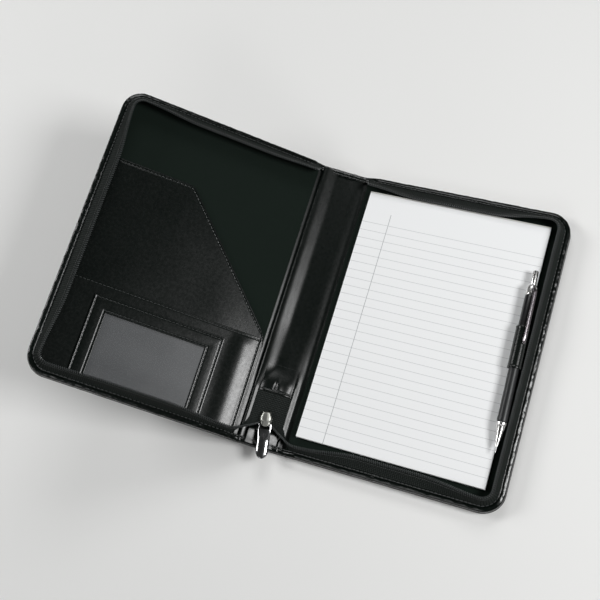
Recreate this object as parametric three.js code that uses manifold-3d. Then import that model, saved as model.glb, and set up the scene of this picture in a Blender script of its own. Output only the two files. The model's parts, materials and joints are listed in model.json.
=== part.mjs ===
// A zip-round A5 portfolio case, lying open on its back cover, with a ruled pad and a mechanical pencil.
// Millimetres, +Z up. The origin is the centre of the back cover's outer face. +X runs from the spine to
// the zipped long edge of the back cover, and +Y to the head of the pad.
import * as THREE from 'three';
import { mergeVertices } from 'three/addons/utils/BufferGeometryUtils.js';
import Module from 'manifold-3d';

// Driving dimensions: an A5 pad (148 x 210) sets the covers, and the zipper's height sets the spine.
const PAD_W = 148;
const PAD_H = 210;
const COVER_W = 172;             // hinge line to zipped edge
const COVER_H = 241;             // head to tail
const CORNER_R = 17;
const SPINE_W = 38.5;            // hinge line to hinge line, and so the closed thickness
const SPINE_RISE = THREE.MathUtils.degToRad(13);   // the spine above the back cover, at rest
const FRONT_RISE = THREE.MathUtils.degToRad(14);   // the front cover above the spine, at rest
const HINGE_Z = 0.6;             // the fold line, inside the outer leather

const GAP = 0.3;                 // clearance between pieces that touch
const LEATHER = 0.9;
const BOARD = 1.75;
const CLOTH = 0.6;
const CARD = 0.6;
const THIN_LEATHER = 0.7;        // hems, loop, window frame and spine lining
const POCKET_LEATHER = 0.8;
const SPINE_BOARD = 0.9;
const FILM = 0.3;
const PANEL_INSET = 5;           // a cover's free edge to the panels sewn inside the rim
const BOARD_INSET = 1.6;

// Heights above a cover's outer face, layer by layer.
const BOARD_Z = LEATHER + GAP;
const LINING_Z = BOARD_Z + BOARD + GAP;
const INSIDE_Z = LINING_Z + CLOTH + GAP;           // the first free level inside a cover

// The rim round three sides of each cover: a leather wall, its stitched lip, and the leaning zipper tape.
const WALL = 1.2;
const LIP_WIDTH = 4.4;
const LIP_Z = 7.9;
const LIP_TOP = 9.2;
const RIM_START = 4.2;           // hinge line to the first of the wall
const TAPE = 0.6;
const TAPE_FOOT = new THREE.Vector2(WALL + 0.5, LIP_Z - GAP - TAPE / 2);
const TAPE_BEND = new THREE.Vector2(LIP_WIDTH + 0.5, TAPE_FOOT.y);
const TAPE_REACH = 9.5;          // woven tape from the lip to the teeth
const COIL_R = 1.05;
const LEAN_CORNER = 26;          // degrees from upright, where the tape goes round a corner
const LEAN_SPINE_END = 32;
const LEAN_RAMP = 48;            // how far along a side the tape takes to lie down
const TAPE_START = 12.5;         // hinge line to the tape along the foot, which leaves the slider free
const BACK_LEAN = { bottom: 60, outer: 26, top: 57 };
const FRONT_LEAN = { bottom: 34, outer: 48, top: 42 };

// The pad, as it lies in its slit in the back cover's panel.
const PAD_LEFT = 8.8;            // hinge line to the pad
const PAD_BOTTOM = -104;
const PAD_PAPER = 3.7;
const TOP_SHEET = 0.2;
const PANEL_LEFT = 3.2;

// The pencil: a straight axis over the pad's right edge, turned a little off the pad's side.
const PENCIL_TOP = new THREE.Vector2(68.0, 67.2);
const PENCIL_TIP = new THREE.Vector2(71.7, -76.8);
const PENCIL_Z = 15.6;
const PENCIL_R = 4.1;
const BUTTON_R = 2.2;
const COLLAR_LENGTH = 9;
const BARREL_LENGTH = 54;
const GRIP_LENGTH = 46;
const CONE_LENGTH = 19;
const SLEEVE_LENGTH = 4;
const CLIP_END = 7;              // along Y, over the pen loop
const CLIP_ROLL = THREE.MathUtils.degToRad(28);
const LOOP_TOP = 21;             // the pen loop, along Y
const LOOP_BOTTOM = -12;
const LOOP_CLEARANCE = 0.5;
const LOOP_FOOT = 6;             // the loop's sewn foot, out past the sleeve
const STRAP_ANGLE = 1.82 * Math.PI;   // where the strap leaves the sleeve, anticlockwise from +X

// The zipper's closed tail, sewn down on the spine's inside.
const TAIL_EDGE = 6.4;           // hinge line to the tail tape
const TAIL_TOP = -66;
const TAIL_SPLIT = -90.5;        // where the two tapes part for the slider
const TAIL_BOTTOM = -98.5;
const TAIL_Z = 6.0;
const SLOT_W = 3.4;
const SLIDER_Y = -98;
const SLIDER_W = 9.8;
const SLIDER_L = 11.7;
const NECK_Y = 2.6 - SLIDER_L / 2;                  // the slider's neck, from its middle
const SLIDER_YAW = THREE.MathUtils.degToRad(10);    // it sits askew on slack tapes, turned about its neck
const PULL_W = 9.6;
const PULL_L = 26.4;             // from its bar to its rounded end
const PULL_HINGE_Y = SLIDER_Y - 4.6;
const PULL_HINGE_Z = 9.5;

const leatherBlack = () => new THREE.MeshStandardMaterial({ color: 0x0d0e0e, roughness: 0.32, metalness: 0 });
const clothBlack = () => new THREE.MeshStandardMaterial({ color: 0x111312, roughness: 0.95, metalness: 0 });
const tapeBlack = () => new THREE.MeshStandardMaterial({ color: 0x151817, roughness: 0.85, metalness: 0 });
const coilBlack = () => new THREE.MeshStandardMaterial({ color: 0x0b0c0c, roughness: 0.4, metalness: 0 });
const boardGrey = () => new THREE.MeshStandardMaterial({ color: 0x77736a, roughness: 0.95, metalness: 0 });
const paperWhite = () => new THREE.MeshStandardMaterial({ color: 0xf2f3f2, roughness: 0.9, metalness: 0 });
const gumPale = () => new THREE.MeshStandardMaterial({ color: 0xdad9d2, roughness: 0.6, metalness: 0 });
const clearVinyl = () => new THREE.MeshStandardMaterial({
  color: 0x6d7172, roughness: 0.2, metalness: 0, transparent: true, opacity: 0.35,
});
const chrome = () => new THREE.MeshStandardMaterial({ color: 0xc9cbcc, roughness: 0.12, metalness: 1 });
const nickel = () => new THREE.MeshStandardMaterial({ color: 0x9a9a92, roughness: 0.3, metalness: 1 });
const plasticBlack = () => new THREE.MeshStandardMaterial({ color: 0x101112, roughness: 0.3, metalness: 0 });
const gripBlack = () => new THREE.MeshStandardMaterial({ color: 0x1a1b1c, roughness: 0.6, metalness: 0 });
const eraserWhite = () => new THREE.MeshStandardMaterial({ color: 0xe4e2da, roughness: 0.85, metalness: 0 });
const steel = () => new THREE.MeshStandardMaterial({ color: 0x8d8f90, roughness: 0.35, metalness: 1 });

const wasm = await Module();
wasm.setup();

function named(name, geometry, material) {
  const mesh = new THREE.Mesh(geometry, material);
  mesh.name = name;
  return mesh;
}

// A flat piece: an outline in X and Y, from height z to z + thickness.
function plate(shape, z, thickness, curveSegments = 8) {
  return new THREE.ExtrudeGeometry(shape, { depth: thickness, bevelEnabled: false, curveSegments })
    .translate(0, 0, z);
}

// A box between two corners.
function block(low, high) {
  const size = new THREE.Vector3().subVectors(high, low);
  const centre = new THREE.Vector3().addVectors(low, high).multiplyScalar(0.5);
  return new THREE.BoxGeometry(size.x, size.y, size.z).translate(centre.x, centre.y, centre.z);
}

// An outline in Y and Z, pushed along X from x to x + width.
function ridge(shape, x, width) {
  return new THREE.ExtrudeGeometry(shape, { depth: width, bevelEnabled: false })
    .rotateY(Math.PI / 2)
    .rotateX(Math.PI / 2)
    .translate(x, 0, 0);
}

function solid(geometry) {
  const bare = geometry.clone();
  bare.deleteAttribute('normal');
  bare.deleteAttribute('uv');
  const merged = mergeVertices(bare, 1e-4);
  return new wasm.Manifold(new wasm.Mesh({
    numProp: 3,
    vertProperties: merged.attributes.position.array,
    triVerts: new Uint32Array(merged.index.array),
  }));
}

function geometryOf(manifold) {
  const mesh = manifold.getMesh();
  const geometry = new THREE.BufferGeometry();
  geometry.setAttribute('position', new THREE.BufferAttribute(mesh.vertProperties, 3));
  geometry.setIndex(new THREE.BufferAttribute(mesh.triVerts, 1));
  return geometry;
}

// ---- covers: everything in a cover's own frame, X from its hinge line outwards ----

// A rounded rectangle from x = left, its two outer corners rounded, inset from the cover's three free edges.
function coverOutline(left, inset) {
  const right = COVER_W - inset;
  const half = COVER_H / 2 - inset;
  const r = CORNER_R - inset;
  const shape = new THREE.Shape();
  shape.moveTo(left, -half);
  shape.lineTo(right - r, -half);
  shape.absarc(right - r, -half + r, r, -Math.PI / 2, 0, false);
  shape.lineTo(right, half - r);
  shape.absarc(right - r, half - r, r, 0, Math.PI / 2, false);
  shape.lineTo(left, half);
  shape.closePath();
  return shape;
}

// Stations along a cover's three free edges: foot to outer corner, up the long side, and back along the
// head. Each has a point on the edge, the inward direction and the tape's lean there, in degrees.
function edgeStations(startBottom, startTop, lean) {
  const stations = [];
  const half = COVER_H / 2;
  const straight = COVER_W - CORNER_R;
  const sideSteps = 11;
  const cornerSteps = 9;
  const leanAt = (fromStart, fromEnd, startLean, endLean, midLean) => {
    const rise = THREE.MathUtils.smoothstep(fromStart, 0, LEAN_RAMP);
    const fall = THREE.MathUtils.smoothstep(fromEnd, 0, LEAN_RAMP);
    const edge = fromStart < fromEnd ? startLean : endLean;
    return edge + (midLean - edge) * Math.min(rise, fall);
  };
  const side = (from, to, inward, startLean, endLean, midLean) => {
    const length = from.distanceTo(to);
    for (let i = 0; i <= sideSteps; i++) {
      const t = i / sideSteps;
      stations.push({
        at: from.clone().lerp(to, t),
        inward,
        lean: leanAt(t * length, (1 - t) * length, startLean, endLean, midLean),
      });
    }
  };
  const corner = (centre, startAngle) => {
    for (let i = 1; i < cornerSteps; i++) {
      const angle = startAngle + (i / cornerSteps) * (Math.PI / 2);
      const out = new THREE.Vector2(Math.cos(angle), Math.sin(angle));
      stations.push({
        at: centre.clone().addScaledVector(out, CORNER_R),
        inward: out.clone().negate(),
        lean: LEAN_CORNER,
      });
    }
  };
  side(new THREE.Vector2(startBottom, -half), new THREE.Vector2(straight, -half),
    new THREE.Vector2(0, 1), LEAN_SPINE_END, LEAN_CORNER, lean.bottom);
  corner(new THREE.Vector2(straight, -half + CORNER_R), -Math.PI / 2);
  side(new THREE.Vector2(COVER_W, -half + CORNER_R), new THREE.Vector2(COVER_W, half - CORNER_R),
    new THREE.Vector2(-1, 0), LEAN_CORNER, LEAN_CORNER, lean.outer);
  corner(new THREE.Vector2(straight, half - CORNER_R), 0);
  side(new THREE.Vector2(straight, half), new THREE.Vector2(startTop, half),
    new THREE.Vector2(0, -1), LEAN_CORNER, LEAN_SPINE_END, lean.top);
  return stations;
}

// A closed solid along the stations. section(lean) gives an anticlockwise ring of (inward, up) points.
function sweepEdge(stations, section) {
  const rings = stations.map((station) => section(station.lean));
  const count = rings[0].length;
  const positions = [];
  stations.forEach((station, i) => {
    for (const point of rings[i]) {
      positions.push(
        station.at.x + station.inward.x * point.x,
        station.at.y + station.inward.y * point.x,
        point.y,
      );
    }
  });
  const indices = [];
  for (let i = 0; i < stations.length - 1; i++) {
    for (let j = 0; j < count; j++) {
      const a = i * count + j;
      const b = i * count + ((j + 1) % count);
      indices.push(a, b, b + count, a, b + count, a + count);
    }
  }
  const last = (stations.length - 1) * count;
  for (const [p, q, r] of THREE.ShapeUtils.triangulateShape(rings[0], [])) {
    indices.push(r, q, p);
  }
  for (const [p, q, r] of THREE.ShapeUtils.triangulateShape(rings[rings.length - 1], [])) {
    indices.push(last + p, last + q, last + r);
  }
  const geometry = new THREE.BufferGeometry();
  geometry.setAttribute('position', new THREE.Float32BufferAttribute(positions, 3));
  geometry.setIndex(indices);
  return geometry;
}

// The leather wall, turned in at the top as the stitched lip.
function wallSection() {
  return [
    new THREE.Vector2(0, BOARD_Z),
    new THREE.Vector2(WALL, BOARD_Z),
    new THREE.Vector2(WALL, LIP_Z),
    new THREE.Vector2(LIP_WIDTH, LIP_Z),
    new THREE.Vector2(LIP_WIDTH, LIP_TOP - 0.5),
    new THREE.Vector2(LIP_WIDTH - 0.7, LIP_TOP),
    new THREE.Vector2(0.8, LIP_TOP),
    new THREE.Vector2(0, LIP_TOP - 0.8),
  ];
}

function leanDirection(lean) {
  const angle = THREE.MathUtils.degToRad(lean);
  return new THREE.Vector2(Math.sin(angle), Math.cos(angle));
}

// The tape: flat under the lip, then up and inwards at its lean.
function tapeSection(lean) {
  const along = leanDirection(lean);
  const inner = new THREE.Vector2(along.y, -along.x);
  const turn = Math.PI / 2 - THREE.MathUtils.degToRad(lean);
  const mitre = (TAPE / 2) * Math.tan(turn / 2);
  const end = TAPE_BEND.clone().addScaledVector(along, TAPE_REACH);
  return [
    new THREE.Vector2(TAPE_FOOT.x, TAPE_FOOT.y - TAPE / 2),
    new THREE.Vector2(TAPE_BEND.x + mitre, TAPE_BEND.y - TAPE / 2),
    end.clone().addScaledVector(inner, TAPE / 2),
    end.clone().addScaledVector(inner, -TAPE / 2),
    new THREE.Vector2(TAPE_BEND.x - mitre, TAPE_BEND.y + TAPE / 2),
    new THREE.Vector2(TAPE_FOOT.x, TAPE_FOOT.y + TAPE / 2),
  ];
}

// The coil of teeth along the tape's free edge.
function coilSection(lean) {
  const centre = TAPE_BEND.clone().addScaledVector(leanDirection(lean), TAPE_REACH + GAP + COIL_R);
  const ring = [];
  const sides = 6;
  for (let i = 0; i < sides; i++) {
    const angle = (i / sides) * 2 * Math.PI;
    ring.push(new THREE.Vector2(centre.x + COIL_R * Math.cos(angle), centre.y + COIL_R * Math.sin(angle)));
  }
  return ring;
}

function coverShell(side, lean) {
  const group = new THREE.Group();
  group.add(named(`${side}_outer_skin`, plate(coverOutline(0.5, 0), 0, LEATHER), leatherBlack()));
  group.add(named(`${side}_board`, plate(coverOutline(3.6, BOARD_INSET), BOARD_Z, BOARD), boardGrey()));
  const lining = coverOutline(PANEL_LEFT, BOARD_INSET);
  group.add(named(`${side}_lining`, plate(lining, LINING_Z, CLOTH), clothBlack()));
  const wall = edgeStations(RIM_START, RIM_START, lean);
  const tape = edgeStations(TAPE_START, RIM_START, lean);
  group.add(named(`${side}_gusset`, sweepEdge(wall, wallSection), leatherBlack()));
  group.add(named(`${side}_zip_tape`, sweepEdge(tape, tapeSection), tapeBlack()));
  group.add(named(`${side}_zip_coil`, sweepEdge(tape, coilSection), coilBlack()));
  return group;
}

// ---- the pad, in the back cover's frame ----

function padParts() {
  const group = new THREE.Group();
  const right = PAD_LEFT + PAD_W;
  const top = PAD_BOTTOM + PAD_H;
  const cardZ = INSIDE_Z;
  const panelZ = cardZ + CARD + GAP;
  const paperZ = panelZ + CLOTH + GAP;
  const topZ = paperZ + PAD_PAPER + GAP;
  const gumFront = top + GAP;
  const gumBack = gumFront + 0.7;

  // The panel is slit at the pad's head, and the pad's backing card is pushed down behind it.
  const panel = coverOutline(PANEL_LEFT, PANEL_INSET);
  const slit = new THREE.Path();
  slit.moveTo(PAD_LEFT - 0.6, gumFront - GAP);
  slit.lineTo(right + 0.6, gumFront - GAP);
  slit.lineTo(right + 0.6, gumBack + GAP);
  slit.lineTo(PAD_LEFT - 0.6, gumBack + GAP);
  slit.closePath();
  panel.holes.push(slit);

  const sheet = (bottomZ, thickness) => block(
    new THREE.Vector3(PAD_LEFT, PAD_BOTTOM, bottomZ),
    new THREE.Vector3(right, top, bottomZ + thickness),
  );
  group.add(named('pad_backing_card', sheet(cardZ, CARD), boardGrey()));
  group.add(named('pad_pocket', plate(panel, panelZ, CLOTH), clothBlack()));
  group.add(named('pad_sheets', sheet(paperZ, PAD_PAPER), paperWhite()));
  group.add(named('pad_top_sheet', sheet(topZ, TOP_SHEET), paperWhite()));
  group.add(named('pad_glue_strip', block(
    new THREE.Vector3(PAD_LEFT, gumFront, cardZ),
    new THREE.Vector3(right, gumBack, topZ + TOP_SHEET),
  ), gumPale()));
  return group;
}

// ---- the pencil: modelled along its own Y, tip downwards, then laid over the pad ----

// A turned piece: profile points are (radius, distance up the pencil from its tip).
function turned(profile, segments = 20) {
  return new THREE.LatheGeometry(profile.map(([r, y]) => new THREE.Vector2(r, y)), segments);
}

function pencilGroup() {
  const group = new THREE.Group();
  const coneTop = SLEEVE_LENGTH + CONE_LENGTH;
  const gripTop = coneTop + GRIP_LENGTH;
  const barrelTop = gripTop + BARREL_LENGTH;
  const collarTop = barrelTop + COLLAR_LENGTH;
  const length = PENCIL_TOP.distanceTo(PENCIL_TIP);
  const bore = 2.6;
  const pipe = 0.5;

  group.add(named('pencil_lead_sleeve', turned([
    [0, 0], [pipe, 0], [pipe, SLEEVE_LENGTH], [0, SLEEVE_LENGTH],
  ], 10), steel()));
  group.add(named('pencil_nose_cone', turned([
    [0, SLEEVE_LENGTH + GAP], [1.0, SLEEVE_LENGTH + GAP], [1.5, SLEEVE_LENGTH + 4], [2.6, coneTop - 6],
    [PENCIL_R - 0.2, coneTop], [0, coneTop],
  ]), chrome()));
  group.add(named('pencil_grip', turned([
    [bore, coneTop + GAP], [PENCIL_R - 0.1, coneTop + GAP], [PENCIL_R - 0.1, gripTop], [bore, gripTop],
    [bore, coneTop + GAP],
  ]), gripBlack()));
  group.add(named('pencil_barrel', turned([
    [bore, gripTop + GAP], [PENCIL_R, gripTop + GAP], [PENCIL_R, barrelTop], [bore, barrelTop],
    [bore, gripTop + GAP],
  ]), plasticBlack()));
  group.add(named('pencil_collar', turned([
    [bore, barrelTop + GAP], [PENCIL_R + 0.3, barrelTop + GAP], [PENCIL_R + 0.3, collarTop - 2],
    [BUTTON_R + 0.9, collarTop], [bore, collarTop], [bore, barrelTop + GAP],
  ]), chrome()));

  // The lead tube and its clutch, pushed down by the button against the spring.
  const tubeBottom = coneTop + 24;
  const tubeTop = barrelTop - 2;
  group.add(named('pencil_clutch', turned([
    [0, coneTop + 8], [1.6, coneTop + 8], [1.1, coneTop + 14], [1.1, tubeBottom - GAP], [0, tubeBottom - GAP],
  ], 12), steel()));
  group.add(named('pencil_lead_tube', turned([
    [0, tubeBottom], [1.5, tubeBottom], [1.5, tubeTop], [0, tubeTop],
  ], 12), plasticBlack()));
  group.add(named('pencil_spring', turned([
    [1.7, coneTop + 16], [2.3, coneTop + 16], [2.3, tubeBottom + 6], [1.7, tubeBottom + 6],
    [1.7, coneTop + 16],
  ], 12), steel()));

  // The button is a cap over the eraser. Both travel with the lead tube.
  const capTop = length;
  const capBottom = collarTop - 6;
  group.add(named('pencil_eraser', turned([
    [0, tubeTop + GAP], [1.5, tubeTop + GAP], [1.5, capTop - 1.6], [0, capTop - 1.6],
  ], 12), eraserWhite()));
  group.add(named('pencil_button', turned([
    [1.8, capBottom], [BUTTON_R, capBottom], [BUTTON_R, capTop - 0.5], [BUTTON_R - 0.5, capTop],
    [0, capTop], [0, capTop - 1.2], [1.8, capTop - 1.2], [1.8, capBottom],
  ]), chrome()));

  group.add(pencilClip(collarTop));
  return group;
}

// The spring clip: a strip from the collar, down outside the pen loop, rolled to the pencil's right.
function pencilClip(collarTop) {
  const width = 3;
  const root = PENCIL_R + 0.3 + GAP;
  const clear = 6.2;                       // over the pen loop, with room to slide
  const top = collarTop - 2.4;
  const end = CLIP_END - PENCIL_TIP.y;
  const shape = new THREE.Shape();
  shape.moveTo(end, clear);
  shape.lineTo(top - 5, clear);
  shape.lineTo(top - 5, root);
  shape.lineTo(top, root);
  shape.lineTo(top, clear);
  shape.lineTo(top - 1.5, clear + 0.9);
  shape.lineTo(end, clear + 0.9);
  shape.closePath();
  return named('pencil_clip', ridge(shape, -width / 2, width).rotateY(CLIP_ROLL), chrome());
}

// Lays a group modelled along Y on the pencil's axis.
function layOnPencilAxis(group) {
  const run = new THREE.Vector2().subVectors(PENCIL_TOP, PENCIL_TIP);
  group.position.set(PENCIL_TIP.x, PENCIL_TIP.y, PENCIL_Z);
  group.rotation.z = Math.atan2(run.y, run.x) - Math.PI / 2;
  return group;
}

// The pen loop: a sleeve round the pencil, a strap down past the pad's side, and a sewn foot.
function penLoop() {
  const inner = PENCIL_R + LOOP_CLEARANCE;
  const outer = inner + THIN_LEATHER;
  const footZ = INSIDE_Z + CARD + GAP + CLOTH + GAP - PENCIL_Z;
  const footRight = outer + LOOP_FOOT;
  const strapInside = outer * Math.cos(STRAP_ANGLE);
  const shape = new THREE.Shape();
  shape.moveTo(outer, 0);
  shape.absarc(0, 0, outer, 0, STRAP_ANGLE, false);
  shape.lineTo(strapInside, footZ);
  shape.lineTo(footRight, footZ);
  shape.lineTo(footRight, footZ + THIN_LEATHER);
  shape.lineTo(outer, footZ + THIN_LEATHER);
  shape.closePath();
  const hole = new THREE.Path();
  hole.absarc(0, 0, inner, 0, 2 * Math.PI, true);
  shape.holes.push(hole);
  const geometry = new THREE.ExtrudeGeometry(shape, {
    depth: LOOP_TOP - LOOP_BOTTOM, bevelEnabled: false, curveSegments: 12,
  })
    .rotateX(Math.PI / 2)
    .translate(0, LOOP_TOP - PENCIL_TIP.y, 0);
  return named('pen_loop', geometry, leatherBlack());
}

// ---- the front cover's pockets, in its own frame ----

// The big document pocket, cut away on a slope so that papers can be gripped.
function documentPocket() {
  const left = 3.6;
  const right = COVER_W - PANEL_INSET;
  const bottom = -COVER_H / 2 + PANEL_INSET;
  const top = 62.5;
  const r = CORNER_R - PANEL_INSET;
  const shape = new THREE.Shape();
  shape.moveTo(left, bottom);
  shape.lineTo(right - r, bottom);
  shape.absarc(right - r, bottom + r, r, -Math.PI / 2, 0, false);
  shape.lineTo(right, top);
  shape.lineTo(99, top);
  shape.quadraticCurveTo(96, top, 94, top - 2);
  shape.lineTo(9, -29.5);
  shape.quadraticCurveTo(left, -35.5, left, -42);
  shape.closePath();
  return shape;
}

function cardPocket() {
  const inset = PANEL_INSET + 0.4;
  const left = 5;
  const top = -37.5;
  const right = COVER_W - inset;
  const bottom = -COVER_H / 2 + inset;
  const r = CORNER_R - inset;
  const shape = new THREE.Shape();
  shape.moveTo(left, bottom);
  shape.lineTo(right - r, bottom);
  shape.absarc(right - r, bottom + r, r, -Math.PI / 2, 0, false);
  shape.lineTo(right, top);
  shape.lineTo(left, top);
  shape.closePath();
  return shape;
}

function rectangle(Kind, x0, y0, x1, y1) {
  const shape = new Kind();
  shape.moveTo(x0, y0);
  shape.lineTo(x1, y0);
  shape.lineTo(x1, y1);
  shape.lineTo(x0, y1);
  shape.closePath();
  return shape;
}

function frontPockets() {
  const group = new THREE.Group();
  const windowLeft = 46.6;
  const windowRight = 127.6;
  const windowTop = -59.8;
  const windowBottom = -111;
  const border = 12.5;
  const documentZ = INSIDE_Z;
  const cardZ = documentZ + POCKET_LEATHER + GAP;
  const filmZ = cardZ + POCKET_LEATHER + GAP;
  const frameZ = filmZ + FILM + GAP;
  const frame = rectangle(THREE.Shape, windowLeft - border, windowBottom - 3.5,
    windowRight + border, windowTop + border);
  frame.holes.push(rectangle(THREE.Path, windowLeft, windowBottom, windowRight, windowTop));
  group.add(named('document_pocket', plate(documentPocket(), documentZ, POCKET_LEATHER), leatherBlack()));
  group.add(named('card_pocket', plate(cardPocket(), cardZ, POCKET_LEATHER), leatherBlack()));
  group.add(named('id_window_film', plate(rectangle(THREE.Shape, windowLeft - 4, windowBottom - 2.5,
    windowRight + 4, windowTop + 4), filmZ, FILM), clearVinyl()));
  group.add(named('id_window_frame', plate(frame, frameZ, THIN_LEATHER), leatherBlack()));
  return group;
}

// ---- the spine, in its own frame: X from the back hinge line to the front hinge line ----

function strip(left, right, bottom, top, z, thickness) {
  return block(new THREE.Vector3(left, bottom, z), new THREE.Vector3(right, top, z + thickness));
}

function spineParts() {
  const group = new THREE.Group();
  const half = COVER_H / 2;
  const liningZ = BOARD_Z + SPINE_BOARD + GAP;
  const hemZ = liningZ + THIN_LEATHER + GAP;
  const hemWidth = 6.7;
  const hemEnd = 5.7;                      // clear of the panels when the case is shut
  group.add(named('spine_outer_skin', strip(0.5, SPINE_W - 0.5, -half, half, 0, LEATHER), leatherBlack()));
  group.add(named('spine_board', strip(3.6, SPINE_W - 3.6, -half + 2, half - 2,
    BOARD_Z, SPINE_BOARD), boardGrey()));
  group.add(named('spine_lining', strip(2.9, SPINE_W - 2.9, -half + 1, half - 1,
    liningZ, THIN_LEATHER), leatherBlack()));
  for (const [name, from, to] of [
    ['spine_hem_top', half - GAP - hemWidth, half - GAP],
    ['spine_hem_bottom', -half + GAP, -half + GAP + hemWidth],
  ]) {
    group.add(named(name, strip(hemEnd, SPINE_W - hemEnd, from, to,
      hemZ, THIN_LEATHER), leatherBlack()));
  }
  return group;
}

// The closed tail of the zipper: two tapes joined by their coil, parted below for the slider.
function zipTail() {
  const group = new THREE.Group();
  const middle = SPINE_W / 2;
  const right = SPINE_W - TAIL_EDGE;
  const band = new THREE.Shape();
  band.moveTo(TAIL_EDGE, TAIL_BOTTOM);
  band.lineTo(middle - SLOT_W / 2, TAIL_BOTTOM);
  band.lineTo(middle - SLOT_W / 2, TAIL_SPLIT);
  band.lineTo(middle + SLOT_W / 2, TAIL_SPLIT);
  band.lineTo(middle + SLOT_W / 2, TAIL_BOTTOM);
  band.lineTo(right, TAIL_BOTTOM);
  band.lineTo(right, TAIL_TOP);
  band.lineTo(TAIL_EDGE, TAIL_TOP);
  band.closePath();
  group.add(named('zip_tail_tape', plate(band, TAIL_Z, TAPE), tapeBlack()));
  const coilHalf = 2.2;
  const coilThick = 1.2;
  group.add(named('zip_tail_coil', strip(middle - coilHalf, middle + coilHalf, TAIL_SPLIT + 0.5, TAIL_TOP,
    TAIL_Z - GAP - coilThick, coilThick), coilBlack()));

  // The two loose tapes, from the slider out towards each cover's rim.
  const branch = (sign) => {
    const x = (distance) => middle + sign * distance;
    const outer = middle - TAIL_EDGE;
    const end = -113;
    const shape = new THREE.Shape();
    shape.moveTo(x(SLOT_W / 2), TAIL_BOTTOM - GAP);
    shape.lineTo(x(SLOT_W / 2), TAIL_BOTTOM - 3);
    shape.lineTo(x(outer - 2), end);
    shape.lineTo(x(outer), end);
    shape.lineTo(x(outer), TAIL_BOTTOM - GAP);
    shape.closePath();
    return plate(shape, TAIL_Z, TAPE);
  };
  group.add(named('zip_branch_back', branch(-1), tapeBlack()));
  group.add(named('zip_branch_front', branch(1), tapeBlack()));

  // The leather flap sewn over the tail's end, stepping down to the spine lining behind it.
  const low = 3.5;
  const high = TAIL_Z + TAPE + GAP;
  const thick = 0.8;
  const edge = -76.5;
  const flap = new THREE.Shape();
  flap.moveTo(edge, high);
  flap.lineTo(TAIL_TOP + 0.6, high);
  flap.lineTo(TAIL_TOP + 5, low);
  flap.lineTo(TAIL_TOP + 11, low);
  flap.lineTo(TAIL_TOP + 11, low + thick);
  flap.lineTo(TAIL_TOP + 5.4, low + thick);
  flap.lineTo(TAIL_TOP + 1, high + thick);
  flap.lineTo(edge, high + thick);
  flap.closePath();
  group.add(named('zip_tail_flap', ridge(flap, TAIL_EDGE, SPINE_W - 2 * TAIL_EDGE), leatherBlack()));
  return group;
}

// An acorn outline about the slider's centre: square at the head, round at the foot.
function acorn(widthShare, lengthShare) {
  const half = (SLIDER_L / 2) * lengthShare;
  const w = (SLIDER_W / 2) * widthShare;
  const head = 3.3 * widthShare;
  const shape = new THREE.Shape();
  shape.moveTo(-head, half);
  shape.quadraticCurveTo(-head, half - 2.2, -w, 0.8);
  shape.quadraticCurveTo(-w, -half + 1.2, 0, -half);
  shape.quadraticCurveTo(w, -half + 1.2, w, 0.8);
  shape.quadraticCurveTo(head, half - 2.2, head, half);
  shape.closePath();
  return shape;
}

// The slider: two plates joined by a neck where the tapes part, and a cap that hooks over the pull's bar.
function slider() {
  const group = new THREE.Group();
  const topZ = TAIL_Z + TAPE + GAP;
  const topThick = 1.2;
  const lowZ = 3.5;
  const neckR = 1.25;
  const upper = solid(plate(acorn(1, 1), topZ, topThick, 6));
  const lower = solid(plate(acorn(0.92, 0.92), lowZ, 0.8, 6));
  const neck = solid(new THREE.CylinderGeometry(neckR, neckR, topZ - lowZ, 14)
    .rotateX(Math.PI / 2)
    .translate(0, NECK_Y, (topZ + lowZ) / 2 + 0.2));
  group.add(named('slider_body', geometryOf(upper.add(lower).add(neck)), nickel()));

  // The cap is low at its sides, where the pull's legs pass, and roofs the bar along its middle.
  const capZ = topZ + topThick + GAP;
  const sideTop = capZ + 0.9;
  const roofTop = PULL_HINGE_Z + 2;
  const roofUnder = PULL_HINGE_Z + 1.3;
  const notchY = -2.9;                     // the bar's room starts here, towards the foot
  const barRoom = (low, high) => solid(block(
    new THREE.Vector3(-SLIDER_W, -SLIDER_L, low),
    new THREE.Vector3(SLIDER_W, notchY, high),
  ));
  const sides = solid(plate(acorn(0.94, 0.94), capZ, sideTop - capZ, 6));
  const ridgeTop = solid(plate(acorn(0.65, 0.98), capZ, roofTop - capZ, 6));
  const cap = sides.add(ridgeTop).subtract(barRoom(capZ - 1, roofUnder));
  group.add(named('slider_cap', geometryOf(cap), nickel()));

  const pull = pullTab();
  pull.position.set(0, PULL_HINGE_Y - SLIDER_Y, PULL_HINGE_Z);
  group.add(pull);
  return group;
}

// The pull: a bullet with a slot at its top, so that its bar turns under the cap. It hangs towards -Y.
function pullTab() {
  const thick = 1.6;
  const bar = 0.75;
  const w = PULL_W / 2;
  const shape = new THREE.Shape();
  shape.moveTo(-w, bar);
  shape.lineTo(w, bar);
  shape.lineTo(w, -PULL_L + 8);
  shape.quadraticCurveTo(w, -PULL_L, 0, -PULL_L);
  shape.quadraticCurveTo(-w, -PULL_L, -w, -PULL_L + 8);
  shape.closePath();
  shape.holes.push(rectangle(THREE.Path, -3.5, -3.4, 3.5, -bar));
  return named('pull_tab', plate(shape, -thick / 2, thick), chrome());
}

// ---- assembly ----

const backCover = new THREE.Group();
backCover.position.x = -COVER_W / 2;
backCover.add(coverShell('back', BACK_LEAN), padParts());

const pencil = layOnPencilAxis(pencilGroup());
const loop = layOnPencilAxis(new THREE.Group());
loop.add(penLoop());

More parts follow.
